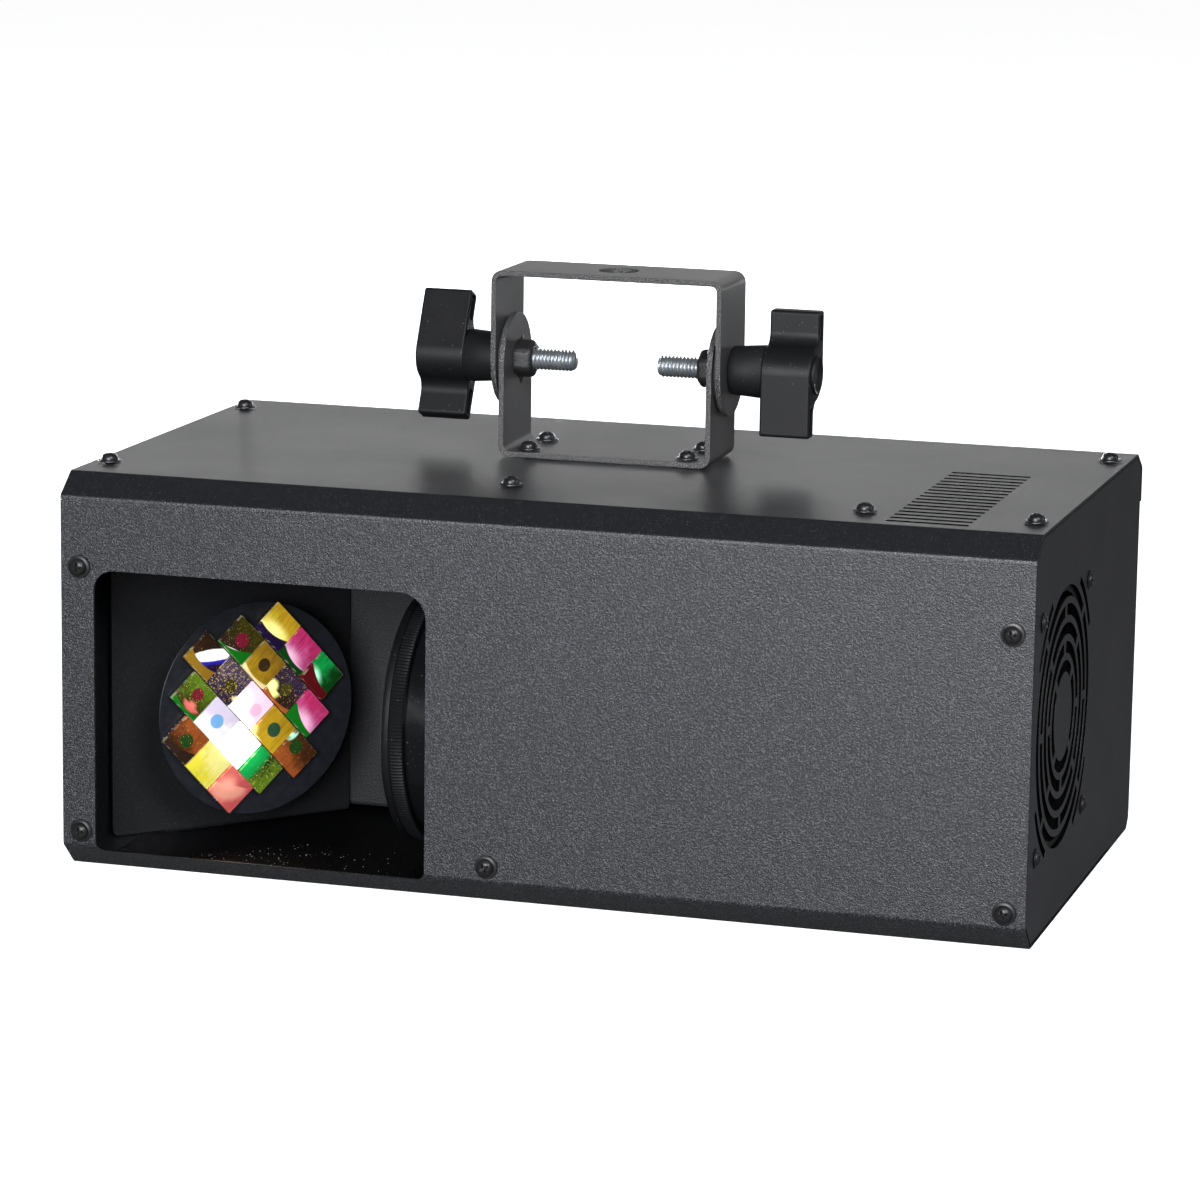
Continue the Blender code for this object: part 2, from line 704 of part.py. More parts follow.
def make_base_shell(holes):
    section = housing_section()
    top = HOUSING_HEIGHT - TOP_CHAMFER_HEIGHT - COVER_LIP - CLEARANCE
    path = [(front_y, top), section[7], section[0], section[1], section[2], (rear_y, REAR_BASE_CHAMFER + REAR_BASE_LIP)]
    shell = folded_strip("base_shell", rounded(path, BEND_RADIUS, BEND_STEPS, closed=False), HOUSING_WIDTH, SHEET)
    place(shell, (-half_width, 0, 0), FACE_RIGHT)
    left = -half_width + WINDOW_SIDE_MARGIN
    right = left + WINDOW_WIDTH
    outline = [(left, WINDOW_BOTTOM), (right, WINDOW_BOTTOM), (right, WINDOW_TOP), (left, WINDOW_TOP)]
    radii = [WINDOW_FOOT_RADIUS, WINDOW_FOOT_RADIUS, WINDOW_RIGHT_RADIUS, WINDOW_LEFT_RADIUS]
    reach = BASE_CHAMFER_DEPTH
    window = flat_plate("window_opening", [rounded(outline, radii, CORNER_STEPS)], reach, cutters)
    place(window, (0, front_y - OVERRUN + reach, 0), FACE_FRONT)
    cut(shell, window, holes)
    finish(shell, SHELL_PAINT)


def make_top_cover(holes):
    lip_y = rear_y + REAR_LIP_STANDOFF
    lip_top = HOUSING_HEIGHT - REAR_SLOPE_HEIGHT
    front_top = HOUSING_HEIGHT - TOP_CHAMFER_HEIGHT
    path = [
        (lip_y, lip_top - REAR_LIP),
        (lip_y, lip_top),
        (rear_y - REAR_SLOPE_DEPTH, HOUSING_HEIGHT),
        (front_y + TOP_CHAMFER_DEPTH, HOUSING_HEIGHT),
        (front_y, front_top),
        (front_y, front_top - COVER_LIP),
    ]
    cover = folded_strip("top_cover", rounded(path, BEND_RADIUS, BEND_STEPS, closed=False), HOUSING_WIDTH, SHEET)
    place(cover, (-half_width, 0, 0), FACE_RIGHT)
    right = half_width - VENT_FROM_RIGHT
    slots = []
    for i in range(VENT_COUNT):
        y = front_y + VENT_FROM_FRONT + i * VENT_PITCH
        low = (right - VENT_LENGTH, y - VENT_WIDTH / 2, HOUSING_HEIGHT - SHEET - OVERRUN)
        high = (right, y + VENT_WIDTH / 2, HOUSING_HEIGHT + OVERRUN)
        slots.append(box(f"vent_{i}", low, high, cutters))
    cut(cover, joined("vents", slots), holes)
    finish(cover, SHELL_PAINT)


def arc_slot(inner, outer, start, sweep):
    steps = max(2, round(GRILLE_STEPS * outer / GRILLE_RADIUS))
    return arc((0, 0), outer, start, sweep, steps) + arc((0, 0), inner, start + sweep, -sweep, steps)


def grille_slots():
    """Rings of arc slots about the fan's axis. The bridges of each ring stand between those of the next."""
    quarter = math.pi / 2
    slots = []
    for ring in range(GRILLE_RINGS):
        outer = GRILLE_RADIUS - ring * GRILLE_PITCH
        inner = outer - GRILLE_SLOT
        bridge = GRILLE_BRIDGE / inner
        offset = quarter / 2 if ring % 2 == 0 else 0
        for i in range(4):
            slots.append(arc_slot(inner, outer, offset + i * quarter + bridge / 2, quarter - bridge))
    inner = GRILLE_RADIUS - GRILLE_SLOT + GRILLE_PITCH
    for i in range(4):
        start = quarter / 2 + i * quarter - GRILLE_CORNER_SWEEP / 2
        slots.append(arc_slot(inner, inner + GRILLE_CORNER_SLOT, start, GRILLE_CORNER_SWEEP))
    return slots


def make_side_panels(holes):
    outline = inset(housing_section(), seam)
    left = folded_pan("left_side_panel", [(-y, z) for y, z in reversed(outline)], SIDE_FLANGE)
    place(left, (-half_width, 0, 0), FACE_LEFT)
    right = folded_pan("right_side_panel", outline, SIDE_FLANGE)
    place(right, (half_width, 0, 0), FACE_RIGHT)
    reach = SHEET + 2 * OVERRUN
    pieces = [flat_plate(f"grille_{i}", [slot], reach, cutters) for i, slot in enumerate(grille_slots())]
    for piece in pieces:
        place(piece, (right_inner_x - OVERRUN, fan_y, fan_z), FACE_RIGHT)
    cut(right, joined("grille", pieces), holes)
    cut(left, holes)
    finish(left, SHELL_PAINT)
    finish(right, SHELL_PAINT)


def make_back_wall():
    """The long wall between the light chamber and the electronics, seated on the side panels' flanges."""
    low = 2 * seam
    high = HOUSING_HEIGHT - 2 * seam
    path = [(back_wall_y + BACK_WALL_FLANGE, high), (back_wall_y, high)]
    path += [(back_wall_y, low), (back_wall_y + BACK_WALL_FLANGE, low)]
    start = left_inner_x + CLEARANCE
    length = heatsink_wall_x + WALL_FLANGE - start
    wall = folded_strip("chamber_back_wall", rounded(path, BEND_RADIUS, BEND_STEPS, closed=False), length, SHEET)
    finish(place(wall, (start, 0, 0), FACE_RIGHT), CHAMBER_PAINT)


def make_cross_walls(holes):
    outline = [(-y, z) for y, z in reversed(inset(chamber_section(), seam))]
    wall = folded_pan("lens_wall", outline, WALL_FLANGE)
    place(wall, (lens_wall_x, 0, 0), FACE_LEFT)
    opening = cylinder("barrel_hole", BARREL_RADIUS + CLEARANCE, -OVERRUN, SHEET + OVERRUN, BARREL_STEPS)
    place(opening, (lens_wall_x, lens_y, lens_z), FACE_RIGHT)
    cut(wall, opening, holes)
    finish(wall, CHAMBER_PAINT)
    wall = folded_pan("heatsink_wall", outline, WALL_FLANGE)
    place(wall, (heatsink_wall_x, 0, 0), FACE_LEFT)
    half_y = HEATSINK_WIDTH / 2 - HEATSINK_SEAT
    half_z = HEATSINK_HEIGHT / 2 + CLEARANCE
    low = (heatsink_wall_x - OVERRUN, lens_y - half_y, lens_z - half_z)
    high = (heatsink_wall_x + SHEET + OVERRUN, lens_y + half_y, lens_z + half_z)
    cut(wall, box("fin_opening", low, high, cutters), holes)
    finish(wall, CHAMBER_PAINT)


# Disc drive

def on_disc_axis(distance):
    """A point on the disc's axis, measured out from the disc's front face."""
    return disc_centre + disc_normal * distance


def make_motor_plate():
    """The slanted sheet: a flange folded back along its base, but not under the foot at its left end."""
    back = -DISC_STANDOFF - SHEET
    origin = on_disc_axis(back)
    left = (-half_width + PLATE_FROM_LEFT - origin.x) / disc_across.x
    right = (back_wall_y - CLEARANCE - origin.y) / disc_across.y - SHEET / math.tan(DISC_PLAN_ANGLE)
    floor = seam - disc_z
    step = 2 * seam - disc_z
    top = HOUSING_HEIGHT - PLATE_HEAD_ROOM - disc_z
    fold = left + PLATE_FOOT
    path = [(SHEET - PLATE_FLANGE, floor), (SHEET, floor), (SHEET, top)]
    length = right - left
    plate = folded_strip("motor_plate", rounded(path, BEND_RADIUS, BEND_STEPS, closed=False), length, SHEET)
    place(plate, origin + disc_across * right, (math.pi / 2, 0, DISC_PLAN_ANGLE - math.pi / 2))
    end = right + OVERRUN
    base = floor - OVERRUN
    outline = [(left, step), (fold, step), (fold, base), (end, base), (end, top), (left, top)]
    radii = [PLATE_CORNER_RADIUS, 0, 0, 0, 0, PLATE_CORNER_RADIUS]
    reach = PLATE_FLANGE + SHEET
    silhouette = flat_plate("plate_silhouette", [rounded(outline, radii, CORNER_STEPS)], reach + OVERRUN, cutters)
    place(silhouette, origin - disc_normal * reach, FACE_DISC)
    hole = cylinder("boss_hole", MOTOR_BOSS_RADIUS + CLEARANCE, -OVERRUN, SHEET + OVERRUN, SOCKET_STEPS)
    place(hole, origin, FACE_DISC)
    combine(plate, "INTERSECT", silhouette)
    cut(plate, hole)
    finish(plate, CHAMBER_PAINT)


def make_disc_drive():
    hub_end = -DISC_THICKNESS - DISC_HUB_LENGTH
    bore = SHAFT_RADIUS + CLEARANCE
    radius = DISC_DIAMETER / 2
    profile = [
        (0, 0),
        (radius - DISC_EDGE_CHAMFER, 0),
        (radius, -DISC_EDGE_CHAMFER),
        (radius, -DISC_THICKNESS),
        (DISC_HUB_RADIUS, -DISC_THICKNESS),
        (DISC_HUB_RADIUS, hub_end),
        (bore, hub_end),
        (bore, hub_end + SHAFT_IN_HUB),
        (0, hub_end + SHAFT_IN_HUB),
    ]
    disc = turned("effect_disc", profile, DISC_STEPS)
    finish(place(disc, disc_centre, FACE_DISC), CHAMBER_PAINT)

    face = -DISC_STANDOFF - SHEET - CLEARANCE
    top = hub_end + SHAFT_IN_HUB - CLEARANCE
    shaft = cylinder("motor_shaft", SHAFT_RADIUS, face - SHAFT_IN_MOTOR, top, SOCKET_STEPS, parts)
    finish(place(shaft, disc_centre, FACE_DISC), ZINC)

    half = MOTOR_SIZE / 2
    outline = rounded(rectangle(MOTOR_SIZE, MOTOR_SIZE), MOTOR_CORNER, 1)
    motor = flat_plate("disc_motor", [outline], MOTOR_LENGTH)
    place(motor, on_disc_axis(face - MOTOR_LENGTH), FACE_DISC)
    boss = cylinder("motor_boss", MOTOR_BOSS_RADIUS, -half / 2, MOTOR_BOSS_LENGTH, SOCKET_STEPS)
    place(boss, on_disc_axis(face), FACE_DISC)
    depth = SHAFT_IN_MOTOR + CLEARANCE
    bore_tool = cylinder("motor_bore", bore, -depth, MOTOR_BOSS_LENGTH + OVERRUN, SOCKET_STEPS)
    place(bore_tool, on_disc_axis(face), FACE_DISC)
    fuse(motor, boss)
    cut(motor, bore_tool)
    finish(motor, BLACK_STEEL)


def tile_places():
    """Number, centre along the row, centre across the rows, of each tile in the grid."""
    number = 0
    for row, count in enumerate(TILE_ROWS):
        across = ((len(TILE_ROWS) - 1) / 2 - row) * TILE_PITCH
        if row == len(TILE_ROWS) - 1:
            across += TILE_LAST_ROW_RISE
        for i in range(count):
            yield number, (i - (count - 1) / 2) * TILE_PITCH + TILE_ROW_SLIPS[row], across
            number += 1


def bed_outline():
    """The stepped outline of all rows together."""
    right, left = [], []
    for row, (count, slip) in enumerate(zip(TILE_ROWS, TILE_ROW_SLIPS)):
        top = (len(TILE_ROWS) / 2 - row) * TILE_PITCH
        half = count * TILE_PITCH / 2
        right += [(slip + half, top), (slip + half, top - TILE_PITCH)]
        left += [(slip - half, top), (slip - half, top - TILE_PITCH)]
    return right + left[::-1]


def make_tile(number, along, across):
    """One square tile with a tilted face: it leans outwards with its place on the disc, and a little at random."""
    reach = max(TILE_ROWS) * TILE_PITCH / 2
    turn = number * TILE_WOBBLE_TURN
    slope_x = -math.tan(TILE_SPREAD_ANGLE) * along / reach + math.tan(TILE_WOBBLE_ANGLE) * math.cos(turn)
    slope_y = -math.tan(TILE_SPREAD_ANGLE) * across / reach + math.tan(TILE_WOBBLE_ANGLE) * math.sin(turn)
    half = TILE_SIZE / 2
    low = (along - half, across - half, TILE_BED / 2)
    tile = box(f"tile_{number}", low, (along + half, across + half, TILE_HEIGHT), cutters)
    for vertex in tile.data.vertices:
        if vertex.co.z > TILE_BED:
            vertex.co.z += slope_x * (vertex.co.x - along) + slope_y * (vertex.co.y - across)
    return tile


def make_tiles():
    mosaic = flat_plate("tile_mosaic", [bed_outline()], TILE_BED)
    tiles = joined("tiles", [make_tile(*spot) for spot in tile_places()])
    origin = on_disc_axis(CLEARANCE) + disc_across * TILE_SHIFT_ACROSS + Vector((0, 0, TILE_SHIFT_UP))
    turn = Matrix.Rotation(TILE_GRID_ANGLE, 4, "Z")
    mosaic.data.transform(turn)
    tiles.data.transform(turn)
    place(mosaic, origin, FACE_DISC)
    place(tiles, origin, FACE_DISC)
    fuse(mosaic, tiles)
    finish(mosaic, MIRROR)


# Lens and light source

def make_lens():
    """Ring, glass and barrel about the light's axis; their own Z runs to the left, where the light goes."""
    origin = (ring_x, lens_y, lens_z)
    barrel_end = -RING_LIP - 2 * CLEARANCE - GLASS_EDGE - CLEARANCE
    wall = ring_x - lens_wall_x
    tail = wall - BARREL_TAIL
    seat = wall - SHEET - CLEARANCE
    bore = BARREL_RADIUS - BARREL_WALL
    profile = [
        (BARREL_RADIUS, barrel_end),
        (BARREL_RADIUS, seat),
        (BARREL_RADIUS + BARREL_FLANGE_LIP, seat),
        (BARREL_RADIUS + BARREL_FLANGE_LIP, seat - BARREL_FLANGE),
        (BARREL_RADIUS, seat - BARREL_FLANGE),
        (BARREL_RADIUS, tail),
        (bore, tail),
        (bore, barrel_end),
    ]
    barrel = turned("lens_barrel", profile, BARREL_STEPS, ring=True)
    finish(place(barrel, origin, FACE_LEFT), BLACK_PLASTIC)

    tooth = 2 * math.pi / RING_RIBS
    ribs = []
    for i in range(RING_RIBS):
        for share, radius in ((0, ring_radius - RING_RIB_HEIGHT), (0.5, ring_radius)):
            angle = (i + share) * tooth
            ribs.append((radius * math.cos(angle), radius * math.sin(angle)))
    ring = flat_plate("lens_ring", [ribs, circle((0, 0), bore, BARREL_STEPS)], RING_LENGTH)
    place(ring, (ring_x + RING_LENGTH, lens_y, lens_z), FACE_LEFT)
    seat_tool = cylinder(
        "ring_seat", BARREL_RADIUS + CLEARANCE, -RING_LENGTH - OVERRUN, -RING_LIP, BARREL_STEPS
    )
    place(seat_tool, origin, FACE_LEFT)
    cut(ring, seat_tool)
    finish(ring, BLACK_PLASTIC)

    rim = -RING_LIP - CLEARANCE
    crown_radius = bore - CLEARANCE
    crown = [
        (crown_radius * math.sin(a), rim + GLASS_CROWN * math.cos(a))
        for a in (math.pi / 2 * i / GLASS_STEPS for i in range(GLASS_STEPS + 1))
    ]
    edge = [(BARREL_RADIUS - CLEARANCE, rim), (BARREL_RADIUS - CLEARANCE, rim - GLASS_EDGE)]
    glass = turned("lens_glass", crown + edge + [(0, rim - GLASS_EDGE)], BARREL_STEPS)
    finish(place(glass, origin, FACE_LEFT), GLASS)


def make_light_source():
    """The finned heatsink on its wall, and the LED board with its collimator cup."""
    half = HEATSINK_WIDTH / 2
    fins_half = half - HEATSINK_SEAT - CLEARANCE
    root = HEATSINK_BASE
    tip = HEATSINK_BASE + HEATSINK_FIN_LENGTH
    pitch = (2 * fins_half - HEATSINK_FIN) / (HEATSINK_FINS - 1)
    comb = [(0, half), (0, -half), (root, -half)]
    for i in range(HEATSINK_FINS):
        low = -fins_half + i * pitch
        comb += [(root, low), (tip, low), (tip, low + HEATSINK_FIN), (root, low + HEATSINK_FIN)]
    comb.append((root, half))
    start = heatsink_wall_x - CLEARANCE - HEATSINK_BASE
    heatsink = flat_plate("led_heatsink", [comb], HEATSINK_HEIGHT)
    finish(place(heatsink, (start, lens_y, lens_z - HEATSINK_HEIGHT / 2)), ALUMINIUM)

    mouth = LED_BOARD + COLLIMATOR_LENGTH
    dome = [
        (LED_DOME_RADIUS * math.sin(a), LED_BOARD + LED_DOME_HEIGHT * math.cos(a))
        for a in (math.pi / 2 * i / GLASS_STEPS for i in range(GLASS_STEPS + 1))
    ]
    cup = [
        (COLLIMATOR_THROAT_RADIUS, LED_BOARD),
        (COLLIMATOR_MOUTH_RADIUS, mouth),
        (COLLIMATOR_MOUTH_RADIUS + COLLIMATOR_WALL, mouth),
        (COLLIMATOR_THROAT_RADIUS + COLLIMATOR_WALL, LED_BOARD),
    ]
    board = [(LED_BOARD_RADIUS, LED_BOARD), (LED_BOARD_RADIUS, 0), (0, 0)]
    module = turned("led_module", dome + cup + board, LED_STEPS)
    finish(place(module, (start - CLEARANCE, lens_y, lens_z), FACE_LEFT), ALUMINIUM)


# Fan

def make_fan_frame():
    spots = rectangle(FAN_SCREW_PITCH, FAN_SCREW_PITCH)
    corners = [circle(spot, SCREW_RADIUS + CLEARANCE, SCREW_HOLE_STEPS) for spot in spots]
    outline = rounded(rectangle(FAN_SIZE, FAN_SIZE), FAN_CORNER_RADIUS, BEND_STEPS)
    loops = [outline, circle((0, 0), FAN_BORE_RADIUS, FAN_STEPS)] + corners
    frame = flat_plate("fan_frame", loops, FAN_DEPTH)
    inner_x = fan_x - FAN_DEPTH / 2
    place(frame, (inner_x, fan_y, fan_z), FACE_RIGHT)
    reach = FAN_BORE_RADIUS + (FAN_SIZE / 2 - FAN_BORE_RADIUS) / 2
    struts = []
    for i, (half_a, half_b) in enumerate(((reach, FAN_STRUT / 2), (FAN_STRUT / 2, reach))):
        outline = rectangle(2 * half_a, 2 * half_b)
        struts.append(flat_plate(f"fan_strut_{i}", [outline], FAN_STATOR, cutters))
    stator = cylinder("fan_stator", FAN_STATOR_RADIUS, -SHEET, FAN_STATOR, LED_STEPS)
    bore = cylinder("fan_bore", FAN_SHAFT_RADIUS + CLEARANCE, -OVERRUN, FAN_STATOR + OVERRUN, SCREW_STEPS)
    lift = (SHEET / 2, 0)
    for tool, rise in zip(struts, lift):
        place(tool, (inner_x + SHEET - rise, fan_y, fan_z), FACE_RIGHT)
    place(stator, (inner_x + SHEET, fan_y, fan_z), FACE_RIGHT)
    place(bore, (inner_x, fan_y, fan_z), FACE_RIGHT)
    fuse(frame, stator, *struts)
    cut(frame, bore)
    finish(frame, BLACK_PLASTIC)
    return inner_x + SHEET + FAN_STATOR


def make_fan_rotor(stator_x):
    start = stator_x + FAN_HUB_GAP
    length = right_inner_x - CLEARANCE - FAN_FACE_GAP - start
    root, tip = FAN_HUB_RADIUS - FAN_BLADE, FAN_BORE_RADIUS - FAN_TIP_GAP
    profile = [
        (0, length),
        (FAN_HUB_RADIUS - FAN_HUB_CHAMFER, length),
        (FAN_HUB_RADIUS, length - FAN_HUB_CHAMFER),
        (FAN_HUB_RADIUS, 0),
        (FAN_SHAFT_RADIUS, 0),
        (FAN_SHAFT_RADIUS, -FAN_STATOR),
        (0, -FAN_STATOR),
    ]
    rotor = turned("fan_rotor", profile, LED_STEPS)
    place(rotor, (start, fan_y, fan_z), FACE_RIGHT)
    bm = bmesh.new()
    for blade in range(FAN_BLADES):
        rows = []
        for i in range(FAN_BLADE_CUTS + 1):
            share = i / FAN_BLADE_CUTS
            radius = root + (tip - root) * share
            rise = FAN_ROOT_RISE + (FAN_TIP_RISE - FAN_ROOT_RISE) * share
            sweep = FAN_ROOT_SWEEP + (FAN_TIP_SWEEP - FAN_ROOT_SWEEP) * share
            row = []
            for side in (-1, 0, 1):
                angle = 2 * math.pi * blade / FAN_BLADES + side * sweep / 2
                height = length / 2 + side * rise / 2
                row.append(bm.verts.new((radius * math.cos(angle), radius * math.sin(angle), height)))
            rows.append(row)
        for near, far in zip(rows, rows[1:]):
            for i in range(2):
                bm.faces.new((near[i], far[i], far[i + 1], near[i + 1]))
    blades = new_object("fan_blades", bm, cutters)
    thicken(blades, FAN_BLADE)
    place(blades, rotor.location, FACE_RIGHT)
    fuse(rotor, blades)
    finish(rotor, BLACK_PLASTIC)


# Electronics and rear panel

def make_electronics():
    low = Vector((-half_width + SUPPLY_FROM_LEFT, back_wall_y + SUPPLY_FROM_WALL, seam))
    supply = box("power_supply", low, low + Vector((SUPPLY_LENGTH, SUPPLY_DEPTH, SUPPLY_HEIGHT)))
    soften(supply, SUPPLY_EDGE)
    finish(supply, ALUMINIUM)

    inner = rear_y - SHEET
    board = flat_plate("control_board", [rectangle(BOARD_WIDTH, BOARD_HEIGHT)], BOARD)
    up = DISPLAY_UP - BUTTON_DROP / 2
    origin = (display_x, inner - BOARD_FROM_PANEL - BOARD, up)
    place(board, origin, FACE_REAR)
    corners = rectangle(BOARD_WIDTH - 2 * BOARD_POST_INSET, BOARD_HEIGHT - 2 * BOARD_POST_INSET)
    posts = []
    for i, (a, b) in enumerate(corners):
        top = BOARD + BOARD_FROM_PANEL - CLEARANCE
        post = cylinder(f"post_{i}", BOARD_POST_RADIUS, BOARD / 2, top, SCREW_STEPS)
        posts.append(place(post, (display_x + a, origin[1], up + b), FACE_REAR))
    fuse(board, joined("board_posts", posts))
    finish(board, BOARD_GREEN)


def button_places():
    for i in range(BUTTON_COUNT):
        across = display_x + ((BUTTON_COUNT - 1) / 2 - i) * BUTTON_PITCH
        yield i + 1, (across, rear_y, DISPLAY_UP - BUTTON_DROP)


def make_rear_panel():
    low = REAR_BASE_CHAMFER + REAR_BASE_LIP + CLEARANCE
    high = HOUSING_HEIGHT - REAR_SLOPE_DEPTH * math.tan(rear_slope) - seam / math.cos(rear_slope)
    outline = [(-half_width, low), (half_width, low), (half_width, high), (-half_width, high)]
    gap = 2 * CLEARANCE
    display = rectangle(DISPLAY_WIDTH + gap, DISPLAY_HEIGHT + gap, (-display_x, DISPLAY_UP))
    inlet = rectangle(INLET_WIDTH + gap, INLET_HEIGHT + gap, (-inlet_x, SOCKET_UP))
    loops = [outline, display, inlet]
    for _, spot in button_places():
        loops.append(circle((-spot[0], spot[2]), BUTTON_RADIUS + CLEARANCE, SOCKET_STEPS))
    loops.append(circle((-fuse_x, SOCKET_UP), FUSE_BODY_RADIUS + CLEARANCE, SOCKET_STEPS))
    for across in (signal_in_x, signal_out_x):
        loops.append(circle((-across, SOCKET_UP), SIGNAL_RADIUS + CLEARANCE, SOCKET_STEPS))
    panel = flat_plate("rear_panel", loops, SHEET)
    finish(place(panel, (0, rear_y - SHEET, 0), FACE_REAR), SHELL_PAINT)


def make_display_and_buttons():
    outline = rounded(rectangle(DISPLAY_WIDTH, DISPLAY_HEIGHT), DISPLAY_CORNER_RADIUS, BEND_STEPS)
    display = flat_plate("display_window", [outline], DISPLAY_DEPTH)
    face = rear_y + DISPLAY_PROUD
    finish(place(display, (display_x, face - DISPLAY_DEPTH, DISPLAY_UP), FACE_REAR), GLASS)
    collar = -SHEET - CLEARANCE
    foot = BUTTON_TRAVEL + CLEARANCE - SHEET - BOARD_FROM_PANEL
    for number, spot in button_places():
        profile = [
            (0, BUTTON_PROUD),
            (BUTTON_RADIUS - BUTTON_EDGE, BUTTON_PROUD),
            (BUTTON_RADIUS, BUTTON_PROUD - BUTTON_EDGE),
            (BUTTON_RADIUS, collar),
            (BUTTON_COLLAR_RADIUS, collar),
            (BUTTON_COLLAR_RADIUS, collar - BUTTON_COLLAR),
            (BUTTON_RADIUS / 2, collar - BUTTON_COLLAR),
            (BUTTON_RADIUS / 2, foot),
            (0, foot),
        ]
        button = turned(f"menu_button_{number}", profile, BUTTON_STEPS)
        finish(place(button, spot, FACE_REAR), BLACK_PLASTIC)


def make_power_inlet():
    """A recessed three-pin inlet with a flange, its own Z pointing out of the rear panel."""
    spot = (inlet_x, rear_y, SOCKET_UP)
    face = CLEARANCE + INLET_FLANGE
    body = flat_plate("power_inlet", [rectangle(INLET_WIDTH, INLET_HEIGHT)], INLET_DEPTH + CLEARANCE + INLET_FLANGE / 2)
    place(body, (spot[0], spot[1] - INLET_DEPTH, spot[2]), FACE_REAR)
    flange_outline = rounded(rectangle(INLET_FLANGE_WIDTH, INLET_FLANGE_HEIGHT), INLET_CORNER, BEND_STEPS)
    flange = flat_plate("inlet_flange", [flange_outline], INLET_FLANGE, cutters)
    place(flange, (spot[0], spot[1] + CLEARANCE, spot[2]), FACE_REAR)
    inner = rectangle(INLET_WIDTH - 2 * INLET_WALL, INLET_HEIGHT - 2 * INLET_WALL)
    recess = flat_plate("inlet_recess", [rounded(inner, [0, 0, INLET_CORNER, INLET_CORNER], 1)], INLET_RECESS + OVERRUN, cutters)
    floor = rear_y + face - INLET_RECESS
    place(recess, (spot[0], floor, spot[2]), FACE_REAR)
    pins = []
    for i, (a, b) in enumerate(((-1, 0), (0, 1), (1, 0))):
        outline = rectangle(INLET_PIN_WIDTH, INLET_PIN_HEIGHT, (a * INLET_PIN_SPACING, b * INLET_PIN_SPACING / 2))
        pin = flat_plate(f"inlet_pin_{i}", [outline], INLET_PIN_LENGTH + INLET_WALL, cutters)
        pins.append(place(pin, (spot[0], floor - INLET_WALL, spot[2]), FACE_REAR))
    fuse(body, flange)
    cut(body, recess)
    fuse(body, joined("inlet_pins", pins))
    finish(body, BLACK_PLASTIC)


def make_fuse_holder():
    profile = [
        (0, FUSE_CAP),
        (FUSE_CAP_RADIUS, FUSE_CAP),
        (FUSE_CAP_RADIUS, CLEARANCE),
        (FUSE_BODY_RADIUS, CLEARANCE),
        (FUSE_BODY_RADIUS, -FUSE_BODY_LENGTH),
        (0, -FUSE_BODY_LENGTH),
    ]
    holder = turned("fuse_holder", profile, SOCKET_STEPS)
    place(holder, (fuse_x, rear_y, SOCKET_UP), FACE_REAR)
    half = FUSE_CAP_RADIUS + OVERRUN
    top = rear_y + FUSE_CAP
    low = (fuse_x - half, top - FUSE_SLOT_DEPTH, SOCKET_UP - FUSE_SLOT / 2)
    high = (fuse_x + half, top + OVERRUN, SOCKET_UP + FUSE_SLOT / 2)
    cut(holder, box("fuse_slot", low, high, cutters))
    finish(holder, BLACK_PLASTIC)


def make_signal_socket(name, across, has_pins):
    """A round three-pole socket: with pins in a recess, or with three holes in a flush face."""
    spot = (across, rear_y, SOCKET_UP)
    outline = rounded(rectangle(SIGNAL_FLANGE_WIDTH, SIGNAL_FLANGE_HEIGHT), INLET_CORNER, BEND_STEPS)
    socket = flat_plate(name, [outline], SIGNAL_FLANGE)
    place(socket, (across, rear_y + CLEARANCE, SOCKET_UP), FACE_REAR)
    face = CLEARANCE + SIGNAL_FLANGE
    body = cylinder(name + "_body", SIGNAL_RADIUS, -SIGNAL_DEPTH, face - SIGNAL_FLANGE / 2, SOCKET_STEPS)
    place(body, spot, FACE_REAR)
    fuse(socket, body)
    poles = circle((0, 0), SIGNAL_PIN_CIRCLE, SIGNAL_PINS)
    tools = []
    for i, (a, b) in enumerate(poles):
        if has_pins:
            floor = face - SIGNAL_RECESS
            tool = cylinder(f"pole_{i}", SIGNAL_PIN_RADIUS, floor - SHEET, floor + SIGNAL_PIN_LENGTH, SCREW_STEPS)
        else:
            tool = cylinder(f"pole_{i}", SIGNAL_HOLE_RADIUS, face - SIGNAL_HOLE_DEPTH, face + OVERRUN, SCREW_STEPS)
        tools.append(place(tool, (across + a, rear_y, SOCKET_UP + b), FACE_REAR))
    poles = joined(name + "_poles", tools)
    if has_pins:
        recess = cylinder(name + "_recess", SIGNAL_MOUTH_RADIUS, face - SIGNAL_RECESS, face + OVERRUN, SOCKET_STEPS)
        cut(socket, place(recess, spot, FACE_REAR))
        fuse(socket, poles)
    else:
        cut(socket, poles)
    finish(socket, BLACK_PLASTIC)


# Brackets

def bracket_end(name, straight, rise_start):
    """The outline that rounds the arms' ends about the bolt axis, swept along X: straight is the square side's
    height above or below the axis."""
    half = BRACKET_STRIP / 2
    round_start = 0 if rise_start > 0 else math.pi
    points = arc((0, 0), half, round_start, math.pi, BRACKET_END_STEPS)
    points += [(-half * rise_start, straight), (half * rise_start, straight)]
    width = 2 * (hanging_half + OVERRUN)
    shape = flat_plate(name, [points], width, cutters)
    return place(shape, (BRACKET_ACROSS - width / 2, BRACKET_BACK, bolt_z), FACE_RIGHT)


def bolt_hole(name, radius):
    reach = hanging_half + OVERRUN
    hole = cylinder(name, radius, -reach, reach, BRACKET_END_STEPS * 2)
    return place(hole, (BRACKET_ACROSS, BRACKET_BACK, bolt_z), FACE_RIGHT)


